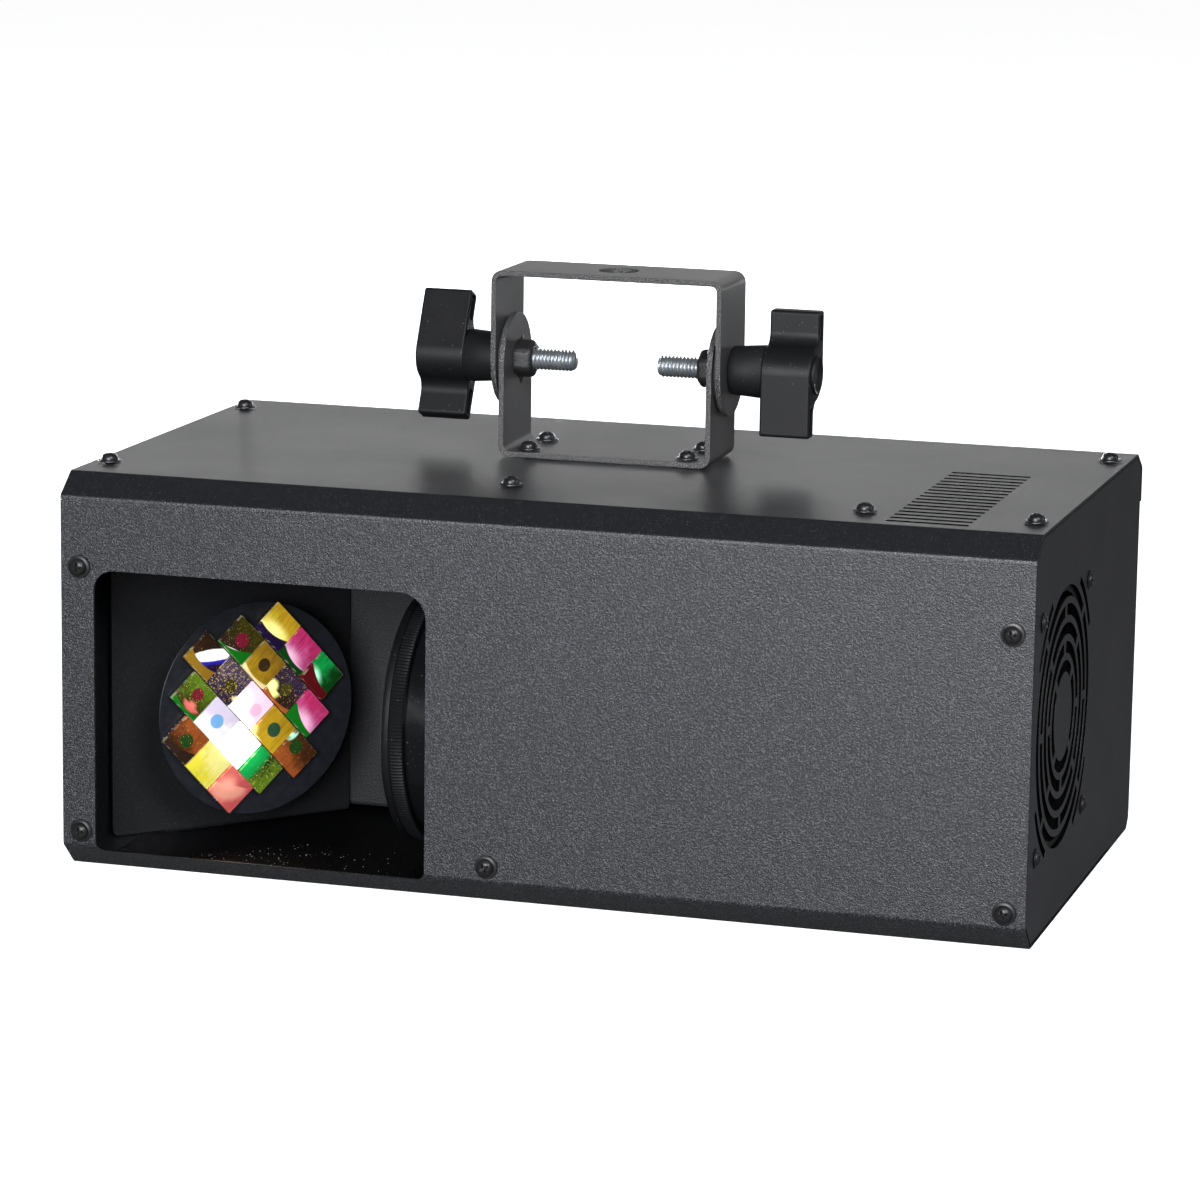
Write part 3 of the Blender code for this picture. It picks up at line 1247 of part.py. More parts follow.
def make_bracket(name, half, square_z, end_shape):
    """A U strip whose base or top outer face is at square_z, with round-ended arms on the bolt axis."""
    up = 1 if square_z < bolt_z else -1
    far = bolt_z + up * (BRACKET_STRIP / 2 + OVERRUN)
    path = [(-half, far), (-half, square_z), (half, square_z), (half, far)]
    if up < 0:
        path.reverse()
    path = rounded(path, BRACKET_BEND_RADIUS, BRACKET_BEND_STEPS, closed=False)
    bracket = folded_strip(name, path, BRACKET_STRIP, BRACKET_SHEET)
    place(bracket, (BRACKET_ACROSS, BRACKET_BACK + BRACKET_STRIP / 2, 0), FACE_FRONT)
    combine(bracket, "INTERSECT", end_shape)
    return bracket


def make_brackets(holes):
    base_z = HOUSING_HEIGHT + CLEARANCE
    lower = make_bracket("lower_bracket", lower_half, base_z, bracket_end("lower_ends", base_z - OVERRUN - bolt_z, 1))
    cut(lower, bolt_hole("lower_bolt_hole", hole_radius), holes)
    finish(lower, BRACKET_PAINT)
    top_z = bolt_z + HANGING_RISE
    hanging = make_bracket("hanging_bracket", hanging_half, top_z, bracket_end("hanging_ends", top_z + OVERRUN - bolt_z, -1))
    mount = cylinder("mount_hole", MOUNT_HOLE_RADIUS, -BRACKET_SHEET - OVERRUN, OVERRUN, SOCKET_STEPS)
    place(mount, (BRACKET_ACROSS, BRACKET_BACK, top_z))
    cut(hanging, bolt_hole("hanging_bolt_hole", hole_radius), mount)
    finish(hanging, BRACKET_PAINT)


def turned_points(points, angle):
    cosine, sine = math.cos(angle), math.sin(angle)
    return [(x * cosine - y * sine, x * sine + y * cosine) for x, y in points]


def knob_outline(lean):
    """The two-winged section of a knob: each wing runs straight off one side of the boss."""
    inner = KNOB_BOSS_RADIUS - KNOB_WING
    centre_x = inner - KNOB_FILLET
    centre_y = math.sqrt((KNOB_BOSS_RADIUS + KNOB_FILLET) ** 2 - centre_x ** 2)
    touch = math.atan2(centre_y, centre_x)
    wing = [(KNOB_BOSS_RADIUS, 0), (KNOB_BOSS_RADIUS, KNOB_WING_REACH), (inner, KNOB_WING_REACH), (inner, centre_y)]
    half = rounded(wing, [0, KNOB_TIP_RADIUS, KNOB_TIP_RADIUS, 0], 2, closed=False)[:-1]
    half += arc((centre_x, centre_y), KNOB_FILLET, 0, touch - math.pi, CORNER_STEPS)
    half += arc((0, 0), KNOB_BOSS_RADIUS, touch, math.pi - touch, CORNER_STEPS)[1:-1]
    return turned_points(half + [(-x, -y) for x, y in half], lean)


def knob_pockets(side, lean):
    """The cored hollows in both ends of both wings, as cutters on the knob's own axis."""
    low = (KNOB_BOSS_RADIUS - KNOB_WING + KNOB_WALL, KNOB_WING_REACH - KNOB_WALL - KNOB_POCKET_REACH)
    high = (KNOB_BOSS_RADIUS - KNOB_WALL, KNOB_WING_REACH - KNOB_WALL)
    corners = [low, (high[0], low[1]), high, (low[0], high[1])]
    depth = KNOB_POCKET_DEPTH + OVERRUN
    start = KNOB_HUB_LENGTH - OVERRUN
    pockets = []
    for i, turn in enumerate((lean, lean + math.pi)):
        for j, height in enumerate((start, KNOB_HUB_LENGTH + KNOB_LENGTH - KNOB_POCKET_DEPTH)):
            pocket = flat_plate(f"{side}_pocket_{i}_{j}", [turned_points(corners, turn)], depth, cutters)
            pocket.data.transform(Matrix.Translation((0, 0, height)))
            pockets.append(pocket)
    return joined(side + "_knob_pockets", pockets)


def make_clamp(side, facing, lean):
    """One side's weld nut, friction washer, stud and knob, each about the bolt axis. Facing is -1 for left."""
    turn = FACE_RIGHT if facing > 0 else FACE_LEFT

    def out(distance):
        return (BRACKET_ACROSS + facing * distance, BRACKET_BACK, bolt_z)

    corner = NUT_FLATS / 2 / math.cos(math.pi / 6)
    hexagon = arc((0, 0), corner, math.pi / 2, 2 * math.pi, 6)[:-1]
    nut = flat_plate(side + "_weld_nut", [hexagon, circle((0, 0), hole_radius, SOCKET_STEPS)], NUT_LENGTH)
    inner_face = lower_half - BRACKET_SHEET - CLEARANCE
    place(nut, out(inner_face - NUT_LENGTH), turn)
    flat = corner - NUT_CHAMFER
    shape = turned(
        side + "_nut_shape",
        [(0, NUT_LENGTH + OVERRUN), (corner + OVERRUN, NUT_LENGTH + OVERRUN), (corner + OVERRUN, NUT_CHAMFER)]
        + [(flat, 0), (flat, -OVERRUN), (0, -OVERRUN)],
        SOCKET_STEPS,
        cutters,
    )
    combine(nut, "INTERSECT", place(shape, out(inner_face - NUT_LENGTH), turn))
    finish(nut, BRACKET_PAINT)

    ring = [
        (FRICTION_WASHER_RADIUS, FRICTION_WASHER),
        (FRICTION_WASHER_RADIUS, 0),
        (hole_radius, 0),
        (hole_radius, FRICTION_WASHER),
    ]
    washer = turned(side + "_friction_washer", ring, LED_STEPS, ring=True)
    finish(place(washer, out(lower_half + CLEARANCE), turn), FIBRE)

    base = hanging_half + CLEARANCE
    tip = STUD_IN_KNOB - STUD_LENGTH
    profile = [
        (0, STUD_IN_KNOB),
        (STUD_RADIUS, STUD_IN_KNOB),
        (STUD_RADIUS, tip + STUD_CHAMFER),
        (STUD_RADIUS - STUD_CHAMFER, tip),
        (0, tip),
    ]
    finish(place(turned(side + "_stud", profile, SOCKET_STEPS), out(base), turn), ZINC)

    end = KNOB_HUB_LENGTH + KNOB_LENGTH
    knob = flat_plate(side + "_knob", [knob_outline(lean)], KNOB_LENGTH)
    place(knob, out(base + KNOB_HUB_LENGTH), turn)
    hub_profile = [
        (0, end + KNOB_CAP_PROUD),
        (KNOB_CAP_RADIUS, end + KNOB_CAP_PROUD),
        (KNOB_CAP_RADIUS, KNOB_HUB_LENGTH + OVERRUN),
        (KNOB_HUB_TOP_RADIUS, KNOB_HUB_LENGTH + OVERRUN),
        (KNOB_HUB_TOP_RADIUS, KNOB_HUB_LENGTH),
        (KNOB_HUB_RADIUS, 0),
        (hole_radius, 0),
        (hole_radius, STUD_IN_KNOB + CLEARANCE),
        (0, STUD_IN_KNOB + CLEARANCE),
    ]
    hub = turned(side + "_knob_hub", hub_profile, KNOB_STEPS, cutters)
    place(hub, out(base), turn)
    fuse(knob, hub)
    cut(knob, place(knob_pockets(side, lean), out(base), turn))
    finish(knob, BLACK_PLASTIC)


def main():
    holes = screw_holes()
    make_base_shell(holes)
    make_top_cover(holes)
    make_side_panels(holes)
    make_back_wall()
    make_cross_walls(holes)
    make_motor_plate()
    make_disc_drive()
    make_tiles()
    make_lens()
    make_light_source()
    make_fan_rotor(make_fan_frame())
    make_electronics()
    make_rear_panel()
    make_display_and_buttons()
    make_power_inlet()
    make_fuse_holder()
    make_signal_socket("dmx_in", signal_in_x, True)
    make_signal_socket("dmx_out", signal_out_x, False)
    make_brackets(holes)
    make_clamp("left", -1, LEFT_KNOB_LEAN)
    make_clamp("right", 1, RIGHT_KNOB_LEAN)
    make_screws()


main()
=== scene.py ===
"""Dresses the LED effect light: powder-coated housing with its fan grille, mirror-tile disc, lens, hanging bracket,
wing knobs, screws and rear sockets, on a pale floor under soft light. Metres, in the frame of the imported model."""

import math
import random

import bmesh
import bpy
from mathutils import Euler, Matrix, Vector


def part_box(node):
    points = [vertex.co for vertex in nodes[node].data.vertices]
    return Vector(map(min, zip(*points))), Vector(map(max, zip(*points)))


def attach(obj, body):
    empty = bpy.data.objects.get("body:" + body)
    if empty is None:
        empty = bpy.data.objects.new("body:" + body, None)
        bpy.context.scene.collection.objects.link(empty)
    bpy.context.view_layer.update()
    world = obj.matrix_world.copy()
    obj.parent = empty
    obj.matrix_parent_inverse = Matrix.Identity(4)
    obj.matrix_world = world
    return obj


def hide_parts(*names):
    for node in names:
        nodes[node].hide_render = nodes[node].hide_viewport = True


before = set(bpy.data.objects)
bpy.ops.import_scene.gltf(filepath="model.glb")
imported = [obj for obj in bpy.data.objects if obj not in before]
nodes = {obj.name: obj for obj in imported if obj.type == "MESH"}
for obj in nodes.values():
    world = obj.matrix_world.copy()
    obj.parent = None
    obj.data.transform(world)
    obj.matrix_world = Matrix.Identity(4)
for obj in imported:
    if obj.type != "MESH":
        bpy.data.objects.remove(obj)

bl_info = {
    "name": "LED effect light",
    "version": (1, 0, 0),
    "blender": (4, 5, 0),
    "location": "View3D > Sidebar > Effect Light",
    "description": "Dresses the solids of an LED effect light with paint, lens, mirror tiles, knobs and screws",
    "category": "Object",
}

for leftover in ("Cube", "Light", "Camera"):
    if leftover in bpy.data.objects:
        bpy.data.objects.remove(bpy.data.objects[leftover])
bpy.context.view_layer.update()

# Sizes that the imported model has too
SHEET = 0.0012
CLEARANCE = 0.0003
TOP_CHAMFER = 0.0075
COVER_LIP = 0.0015
BASE_CHAMFER = 0.0097, 0.009
INSIDE_REAR = 0.060
VENTS_X = 0.118, 0.153
VENTS_Y = -0.0840, 0.060
HUB_LENGTH = 0.0127
KNOB_BOSS = 0.010
KNOB_WING = 0.007
KNOB_REACH = 0.0224
KNOB_LEANS = {"left": math.radians(26), "right": 0.0}
DISC_CENTRE = Vector((-0.1256, -0.0378, 0.0508))
DISC_ANGLE = math.radians(48.5)
DISC_RADIUS = 0.040
TILE_ROWS = (3, 4, 5, 4, 3)
TILE_PITCH = 0.0137
TILE_HEIGHT = 0.0026
TILE_BED = 0.0008
TILE_TURN = math.radians(-48)
TILE_SHIFT = (-0.0035, 0.0019)
TILE_SLIPS = (0.0, -0.0007, 0.0, 0.0005, 0.0034)
TILE_LAST_RISE = 0.0004
TILE_SPREAD = math.radians(4.5)
TILE_WOBBLE = math.radians(1.8)
FAN_Y = -0.0425
FAN_Z = 0.0725
FAN_SCREW_SPACING = 0.0825
GRILLE_RADIUS = 0.0464
GRILLE_PITCH = 0.00665
GRILLE_SLOT = 0.0041
GRILLE_BAR = 0.003
GRILLE_RINGS = 5
GRILLE_OUTER = 0.05195, 0.04895
GRILLE_OUTER_SWEEP = math.radians(32)
GRILLE_REACH = 0.0535
BARREL_FLANGE = 0.0340
NUT_BORE = 0.0041
PLATE_FOOT = -0.165, -0.093
PLATE_SLOPE = 0.9
CHAMBER_X = -0.160, -0.045

# Sizes of detail that only the scene has. A head is its radius and height; a screw of the rear panel its place along
# X and Z; a socket's screw its distance from the socket's middle; a spike its place along Y, its side and its reach;
# and the flange's profile is radius and height from its front.
HEM_SECTION = 0.0004, 0.0009
HEM_BACK = 0.00028
PAN_HEAD = 0.0042, 0.0029
FLAT_HEAD = 0.0036, 0.0012
SMALL_HEAD = 0.0029, 0.0020
CROSS_TURN = 0.3
REAR_SCREWS = (-0.1715, 0.022), (-0.1715, 0.112), (0.1715, 0.022), (0.1715, 0.112), (0, 0.0115)
SOCKET_SCREWS = ("power_inlet", 0.020, 0.0), ("dmx_in", 0.0095, 0.0120), ("dmx_out", 0.0095, 0.0120)
WELD_SPIKES = (0.0004, 1, 0.0021), (-0.0006, -1, 0.0029)
POCKET_TOOL = 0.012
FLANGE_PROFILE = (
    (0.0430, 0.0006), (0.0434, 0.0001), (0.0468, 0), (0.0470, -0.0002), (0.0470, -0.0018), (0.0468, -0.0020),
    (0.0430, -0.0020),
)
SHARP = 38  # degrees from which an edge is sharp

# Crumbs: how many are tried, their middle and spread along X, their range along Y, and their sizes
CRUMB_TRIES = 240
CRUMB_X = -0.118, 0.024
CRUMB_Y = -0.086, -0.040
CRUMB_SIZES = (0.00012, 0.00016, 0.00022, 0.0003)

# Relief and share of specks of the powder coat, where it is coarse and where it lies smoother. The specks are painted
# glints.
COARSE = 0.00016, 0.9
SMOOTH = 0.00003, 0.25

SIDES = ("left", -1), ("right", 1)

# Turns that carry a piece's own Z to a face of the housing
FACE_RIGHT = (math.pi / 2, 0, math.pi / 2)
FACE_LEFT = (math.pi / 2, 0, -math.pi / 2)
FACE_FRONT = (math.pi / 2, 0, 0)
FACE_REAR = (math.pi / 2, 0, math.pi)
FACE_TOP = (0, 0, 0)
FACE_DISC = (math.pi / 2, 0, DISC_ANGLE)

# The camera that fits the photograph, and the soft lights: place, target, size, the setting that holds the power,
# its share, and the tone
CAMERA_PLACE = (0.4759, -1.6076, 0.4275)
CAMERA_AZIMUTH = math.radians(16.65)
CAMERA_ELEVATION = math.radians(11.27)
CAMERA_ROLL = math.radians(0.82)
SOFTBOXES = {
    "left_softbox": ((0.05, -2.2, 0.62), (0, 0, 0.07), (1.2, 0.9), "key", 1.0, (0.95, 0.96, 1.0)),
    "right_softbox": ((1.25, -1.5, 1.35), (0, 0, 0.07), (1.0, 0.9), "key", 0.55, (0.95, 0.96, 1.0)),
    "side_softbox": ((1.6, 0.6, 0.45), (0, 0, 0.12), (0.5, 0.5), "side", 1.0, (0.97, 0.98, 1.0)),
    "rear_softbox": ((-0.9, 1.7, 0.085), (0, 0, 0.08), (2.6, 0.16), "rear", 1.0, (0.97, 0.98, 1.0)),
    "back_softbox": ((-0.35, 1.25, 0.56), (0, 0, 0.14), (1.8, 0.4), "back", 1.0, (1, 1, 1)),
}

# Film colours of the mirror tiles, which also colour their painted reflections (glares and fringes)
FILMS = {
    "gold": (0.66, 0.40, 0.02),
    "lemon": (1.0, 0.92, 0.30),
    "yellow": (0.84, 0.74, 0.05),
    "ochre": (0.30, 0.165, 0.015),
    "amber": (0.50, 0.30, 0.015),
    "olive": (0.050, 0.045, 0.006),
    "brown": (0.060, 0.020, 0.008),
    "umber": (0.030, 0.016, 0.010),
    "rust": (0.34, 0.085, 0.020),
    "crimson": (0.20, 0.010, 0.030),
    "maroon": (0.11, 0.006, 0.010),
    "magenta": (0.60, 0.035, 0.16),
    "orchid": (0.72, 0.16, 0.42),
    "salmon": (0.80, 0.17, 0.14),
    "coral": (0.60, 0.10, 0.10),
    "peach": (0.90, 0.36, 0.26),
    "violet": (0.075, 0.055, 0.115),
    "plum": (0.035, 0.020, 0.045),
    "navy": (0.016, 0.008, 0.040),
    "blue": (0.03, 0.02, 0.50),
    "sky": (0.16, 0.42, 0.76),
    "teal": (0.002, 0.070, 0.040),
    "pine": (0.006, 0.055, 0.008),
    "leaf": (0.008, 0.17, 0.012),
    "green": (0.008, 0.36, 0.07),
    "mint": (0.45, 1.0, 0.70),
    "moss": (0.12, 0.22, 0.015),
    "lavender": (0.72, 0.64, 0.80),
    "rose": (0.86, 0.48, 0.66),
    "blush": (1.0, 0.70, 0.84),
    "white": (1.0, 1.0, 1.0),
    "cream": (1.0, 0.84, 0.42),
}

# The tiles' looks, row by row. Each has a film that turns into another one toward a side; a strip below a bowed
# and slanting line; a spot; a share of flecks; and a glare, a painted reflection, with its place, reach, stretch
# and turn. Places and sizes are in tile widths, with y up toward the first row. Glow sets a tile's painted glow.
TILE_LOOKS = (
    dict(film="gold", far="yellow", strip="navy", share=0.22, slant=0.15, flecks=0.3, glare="lemon", place=(0.0, -0.16),
         reach=0.34, stretch=2.2),
    dict(film="magenta", far="orchid", strip="pine", share=0.13, slant=-0.1, glare="rose", place=(-0.2, -0.30),
         reach=0.32, stretch=2.0, hard=0.0),
    dict(film="green", far="pine", toward=(0.9, -0.2), strip="maroon", share=0.30, slant=-0.28, glare="mint",
         place=(-0.2, -0.10), reach=0.20, stretch=2.0, turn=-20, hard=0.0),
    dict(film="olive", far="umber", strip="leaf", share=0.15, slant=0.45, spot="crimson", radius=0.23, flecks=0.35,
         glare="blush", place=(0.0, -0.36), reach=0.035, stretch=11, turn=20, hard=0.5),
    dict(film="ochre", far="amber", spot="umber", strip="cream", share=0.05, glare="lemon", place=(0.25, -0.52),
         reach=0.10, stretch=3.0),
    dict(film="plum", far="umber", strip="rust", share=0.05, spot="olive", flecks=0.55, glare="lemon",
         place=(-0.41, -0.22), reach=0.25, hard=0.3, glow=1.3),
    dict(film="magenta", far="orchid", strip="leaf", share=0.22, slant=-0.3, glare="rose", place=(0.1, -0.20),
         reach=0.32, stretch=2.0, turn=-15, hard=0.0),
    dict(film="umber", far="brown", strip="ochre", share=0.24, spot="navy", at=(0.34, -0.13), radius=0.17, flecks=0.15,
         glare="white", place=(0.14, 0.18), reach=0.19, stretch=4.5, turn=49, hard=0.75, fringe="blue"),
    dict(film="violet", far="plum", spot="olive", at=(0.12, -0.08), flecks=0.9, glare="cream", place=(0.5, -0.2),
         reach=0.10),
    dict(film="blush", far="blush", spot="rose", at=(0.2, 0.0), radius=0.20, glare="white", place=(-0.45, -0.20),
         reach=0.60, hard=0.3, glow=1.3, streaks=0.1),
    dict(film="amber", far="gold", spot="teal", radius=0.23, glare="lemon", place=(-0.55, -0.45), reach=0.30),
    dict(film="brown", far="rust", toward=(-0.2, -0.9), spot="pine", at=(-0.17, 0.14), radius=0.23, flecks=0.15,
         glare="mint", place=(-0.50, 0.30), reach=0.08, stretch=1.8, turn=80),
    dict(film="moss", far="olive", strip="leaf", share=0.08, spot="crimson", at=(0.03, 0.12), radius=0.20, flecks=0.5,
         glare="salmon", place=(0.12, -0.20), reach=0.15, stretch=1.5),
    dict(film="lavender", far="white", toward=(0.3, -0.8), spot="sky", radius=0.22, glare="white", place=(0.4, -0.5),
         reach=0.30, glow=1.0, streaks=0.08),
    dict(film="white", glare="white", reach=0.9, glow=2.2),
    dict(film="pine", far="moss", toward=(0.8, -0.4), flecks=0.75, glare="green", place=(-0.50, 0.0), reach=0.30,
         stretch=2.4, turn=90, hard=0.3),
    dict(film="rust", far="brown", toward=(-0.3, -0.9), strip="umber", share=0.22, slant=0.2, spot="pine", radius=0.22,
         flecks=0.3),
    dict(film="yellow", far="lemon", toward=(0.2, 0.5), glare="lemon", place=(0.15, 0.70), reach=0.45, streaks=0.2),
    dict(film="salmon", far="coral", toward=(0.9, 0.1), glare="peach", place=(-0.2, 0.05), reach=0.36, stretch=1.2,
         turn=30, hard=0.0, glow=0.75, streaks=0.2),
)

# The tile group's inputs that a look fills: its key there and the value where it has none
TILE_PLACES = {
    "Toward": ("toward", (0.0, -0.7)),
    "Spot place": ("at", (0.0, 0.0)),
    "Glare place": ("place", (0.0, 0.0)),
}
TILE_MEASURES = {
    "Strip share": ("share", -0.5),
    "Slant": ("slant", 0.0),
    "Spot radius": ("radius", 0.21),
    "Flecks": ("flecks", 0.0),
    "Glare reach": ("reach", 0.0001),
    "Stretch": ("stretch", 1.0),
    "Hardness": ("hard", 0.1),
    "Glow": ("glow", 0.85),
    "Streaks": ("streaks", 0.5),
}


# Settings

def colour(name, description, default):
    """A colour setting with its alpha."""
    return bpy.props.FloatVectorProperty(
        name=name, description=description, subtype="COLOR", size=4, min=0, max=1, default=(*default, 1)
    )


def length(name, description, default):
    """A length setting in metres."""
    return bpy.props.FloatProperty(
        name=name, description=description, subtype="DISTANCE", unit="LENGTH", min=0, precision=5, default=default
    )


def amount(name, description, default, low=0, unit="NONE"):
    """A setting for a strength, a power or another plain number."""
    return bpy.props.FloatProperty(name=name, description=description, min=low, unit=unit, default=default)


class HousingSettings(bpy.types.PropertyGroup):
    paint: colour("Paint", "Powder coat of the housing's sheets", (0.0094, 0.0103, 0.0120))
    # Chamber paint: a darker copy of the coat for the parts inside the light chamber; its darkness is painted shade
    chamber: colour("Chamber paint", "Duller coat inside the light chamber", (0.0044, 0.0049, 0.0060))
    # Speck: the colour of painted glints, light specks that stand in for light caught by the coat's pebbles
    speck: colour("Speck", "Lighter grains in the powder coat", (0.14, 0.143, 0.154))
    grain: length("Grain", "Width of one pebble of the powder coat", 0.00054)
    edge: length("Edge radius", "Rounding of the sheets' cut edges and folds", 0.0001)


class BracketSettings(bpy.types.PropertyGroup):
    paint: colour("Paint", "Powder coat of both brackets", (0.052, 0.0515, 0.052))
    # Sparkle: the colour of painted glints, bright grains that stand in for light caught on the cut edges
    sparkle: colour("Sparkle", "Bright grains on the cut edges", (0.20, 0.195, 0.19))
    fibre: colour("Fibre", "Friction washers", (0.012, 0.012, 0.013))
    edge: length("Edge radius", "Rounding of the strip's edges", 0.00035)


class KnobSettings(bpy.types.PropertyGroup):
    plastic: colour("Plastic", "Moulded plastic of the knobs, lens ring and fan", (0.0058, 0.0061, 0.0068))
    zinc: colour("Zinc", "Plated studs", (0.44, 0.47, 0.49))
    edge: length("Edge radius", "Rounding of the wings", 0.0008)
    pocket: length("Pocket depth", "Depth of the cored hollows in the wings", 0.006)
    pitch: length("Thread pitch", "Pitch of the studs' thread", 0.0014)


class ScrewSettings(bpy.types.PropertyGroup):
    black: colour("Black steel", "Screws in the top, the bracket and the fan", (0.008, 0.008, 0.009))
    nickel: colour("Dark nickel", "Screws in the front", (0.014, 0.0137, 0.014))
    recess: length("Recess width", "Width of one arm of the cross recess", 0.0009)
    depth: length("Recess depth", "Depth of the cross recess", 0.0015)


class LensSettings(bpy.types.PropertyGroup):
    ribs: bpy.props.IntProperty(name="Ribs", description="Fine grip ribs round the lens ring", min=12, default=232)
    rib: length("Rib depth", "Depth of the grip ribs", 0.00035)
    tint: colour("Glass tint", "Tint of the lens", (0.86, 0.95, 0.92))
    metal: colour("Aluminium", "Heatsink, LED board and supply box", (0.62, 0.63, 0.65))


class DiscSettings(bpy.types.PropertyGroup):
    disc: colour("Disc", "Anodised face of the turning disc", (0.0085, 0.0096, 0.0124))
    tile: length("Tile width", "Width of one mirror tile", 0.0130)
    edge: length("Tile edge", "Rounding of the tiles' cut edges", 0.00012)
    # Glow: the tiles emit their own colours, a painted glow that stands in for the lamp light they mirror
    glow: amount("Glow", "How bright the lit films are", 0.55)


class StageSettings(bpy.types.PropertyGroup):
    floor: colour("Floor", "Pale floor", (0.95, 0.95, 0.95))
    glow: amount("Floor glow", "Light that lifts the floor to white", 0.96)
    mirrored: amount("Mirrored floor", "Floor tone in reflections", 0.18)
    world: amount("Room light", "Strength of the light all round", 0.05)
    key: amount("Front light", "Power of the front light", 69, unit="POWER")
    side: amount("Side light", "Power of the side light", 3, unit="POWER")
    back: amount("Back light", "Power of the back light", 2.5, unit="POWER")
    rear: amount("Rear light", "Power of the low light behind", 40, unit="POWER")
    focal: amount("Focal length", "Camera lens in millimetres", 139.2, low=1)


SETTINGS = {
    "light_housing": HousingSettings,
    "light_bracket": BracketSettings,
    "light_knob": KnobSettings,
    "light_screw": ScrewSettings,
    "light_lens": LensSettings,
    "light_disc": DiscSettings,
    "light_stage": StageSettings,
}


# Nodes and materials

class Wire:
    """A node's output, which can be reckoned with like a number."""

    def __init__(self, tree, socket):
        self.tree = tree
        self.socket = socket

    def maths(self, operation, *values, clamp=False):
        return wire(self.tree, "ShaderNodeMath", 0, dict(enumerate(values)), operation=operation, use_clamp=clamp)

    def __add__(self, other):
        return self.maths("ADD", self, other)

    def __sub__(self, other):
        return self.maths("SUBTRACT", self, other)

    def __rsub__(self, other):
        return self.maths("SUBTRACT", other, self)

    def __mul__(self, other):
        return self.maths("MULTIPLY", self, other)

    def __truediv__(self, other):
        return self.maths("DIVIDE", self, other)

    def __rtruediv__(self, other):
        return self.maths("DIVIDE", other, self)

    def __abs__(self):
        return self.maths("ABSOLUTE", self)

    def into(self, socket):
        self.tree.links.new(self.socket, socket)


def node(tree, kind, inputs=None, **settings):
    """Adds a node, sets its settings, and fills its inputs with values or with other nodes' outputs."""
    made = tree.nodes.new(kind)
    for key, value in settings.items():
        setattr(made, key, value)
    for key, value in (inputs or {}).items():
        if isinstance(value, Wire):
            value.into(made.inputs[key])
        else:
            made.inputs[key].default_value = value
    return made


def wire(tree, kind, output, inputs=None, **settings):
    """One output of a new node."""
    return Wire(tree, node(tree, kind, inputs, **settings).outputs[output])


def feeding(tree, socket):
    """The output that a socket is linked to."""
    return Wire(tree, socket.links[0].from_socket)


def largest(first, second):
    return first.maths("MAXIMUM", first, second)


def ramp(value, start, end):
    """0 up to start, 1 from end on, smooth between them."""
    inputs = {"Value": value, "From Min": start, "From Max": end}
    return wire(value.tree, "ShaderNodeMapRange", "Result", inputs, interpolation_type="SMOOTHSTEP")


def mixed(tree, share, first, second):
    """A colour between two others."""
    return wire(tree, "ShaderNodeMix", 2, {0: share, 6: first, 7: second}, data_type="RGBA")


def grain(vector, scale, detail=2.0, rough=0.5):
    inputs = {"Vector": vector, "Scale": scale, "Detail": detail, "Roughness": rough}
    return wire(vector.tree, "ShaderNodeTexNoise", "Fac", inputs)


def bumped(height, distance, strength=1.0):
    return wire(height.tree, "ShaderNodeBump", "Normal", {"Height": height, "Distance": distance, "Strength": strength})


def place_of(tree, kind="Object"):
    return wire(tree, "ShaderNodeTexCoord", kind)


def parts_of(vector):
    """A vector's x, y and z."""
    outputs = node(vector.tree, "ShaderNodeSeparateXYZ", {0: vector}).outputs
    return [Wire(vector.tree, output) for output in outputs]


def upward(tree):
    """How far a face looks up."""
    return parts_of(wire(tree, "ShaderNodeNewGeometry", "Normal"))[2]


def vector(operation, first, second, output=0):
    values = {0: first, "Scale" if operation == "SCALE" else 1: second}
    return wire(first.tree, "ShaderNodeVectorMath", output, values, operation=operation)


def effect_group(name, inputs, outputs):
    """A new shader group: inputs are name: default, outputs are name: socket type. Returns it with both ends."""
    group = bpy.data.node_groups.new(name, "ShaderNodeTree")
    kinds = {1: "Float", 3: "Vector", 4: "Color"}
    for label, value in inputs.items():
        kind = "NodeSocket" + kinds[1 if isinstance(value, float) else len(value)]
        group.interface.new_socket(label, in_out="INPUT", socket_type=kind).default_value = value
    for label, kind in outputs.items():
        group.interface.new_socket(label, in_out="OUTPUT", socket_type="NodeSocket" + kind)
    start = group.nodes.new("NodeGroupInput").outputs
    give = {label: Wire(group, start[label]) for label in inputs}
    return group, give, group.nodes.new("NodeGroupOutput").inputs


SURFACE = {"Color": "Color", "Roughness": "Float", "Normal": "Vector"}
BLACK = (0, 0, 0, 1)


def powder_coat():
    """Pebbled powder coat, cloudy in its gloss, with light specks in its colour that are painted glints of its pebbles.
    """
    inputs = {"Paint": (0.02, 0.02, 0.02, 1), "Speck": (0.1, 0.1, 0.1, 1), "Grain": 0.001, "Relief": 0.00005}
    group, give, take = effect_group("powder_coat", inputs | {"Specks": 0.5, "Roughness": 0.5}, SURFACE)
    place = place_of(group)
    scale = 1.0 / give["Grain"]
    pebbles = grain(place, scale, 1.0)
    fine = grain(place, scale * 2.7, 1.0)
    clouds = grain(place, 22.0, 3.0, 0.6)
    # Painted glints: light specks mixed into the colour where the pebbles would catch the light
    specks = ramp(fine * 0.6 + pebbles * 0.4, 0.66 - give["Specks"] * 0.16, 0.70)
    deep = mixed(group, clouds, give["Paint"], mixed(group, 0.2, give["Paint"], BLACK))
    mixed(group, specks, deep, give["Speck"]).into(take["Color"])
    bumped(pebbles + fine * 0.35, give["Relief"]).into(take["Normal"])
    ((fine - 0.5) * 0.2 + (clouds - 0.5) * 0.10 + give["Roughness"]).into(take["Roughness"])
    return group


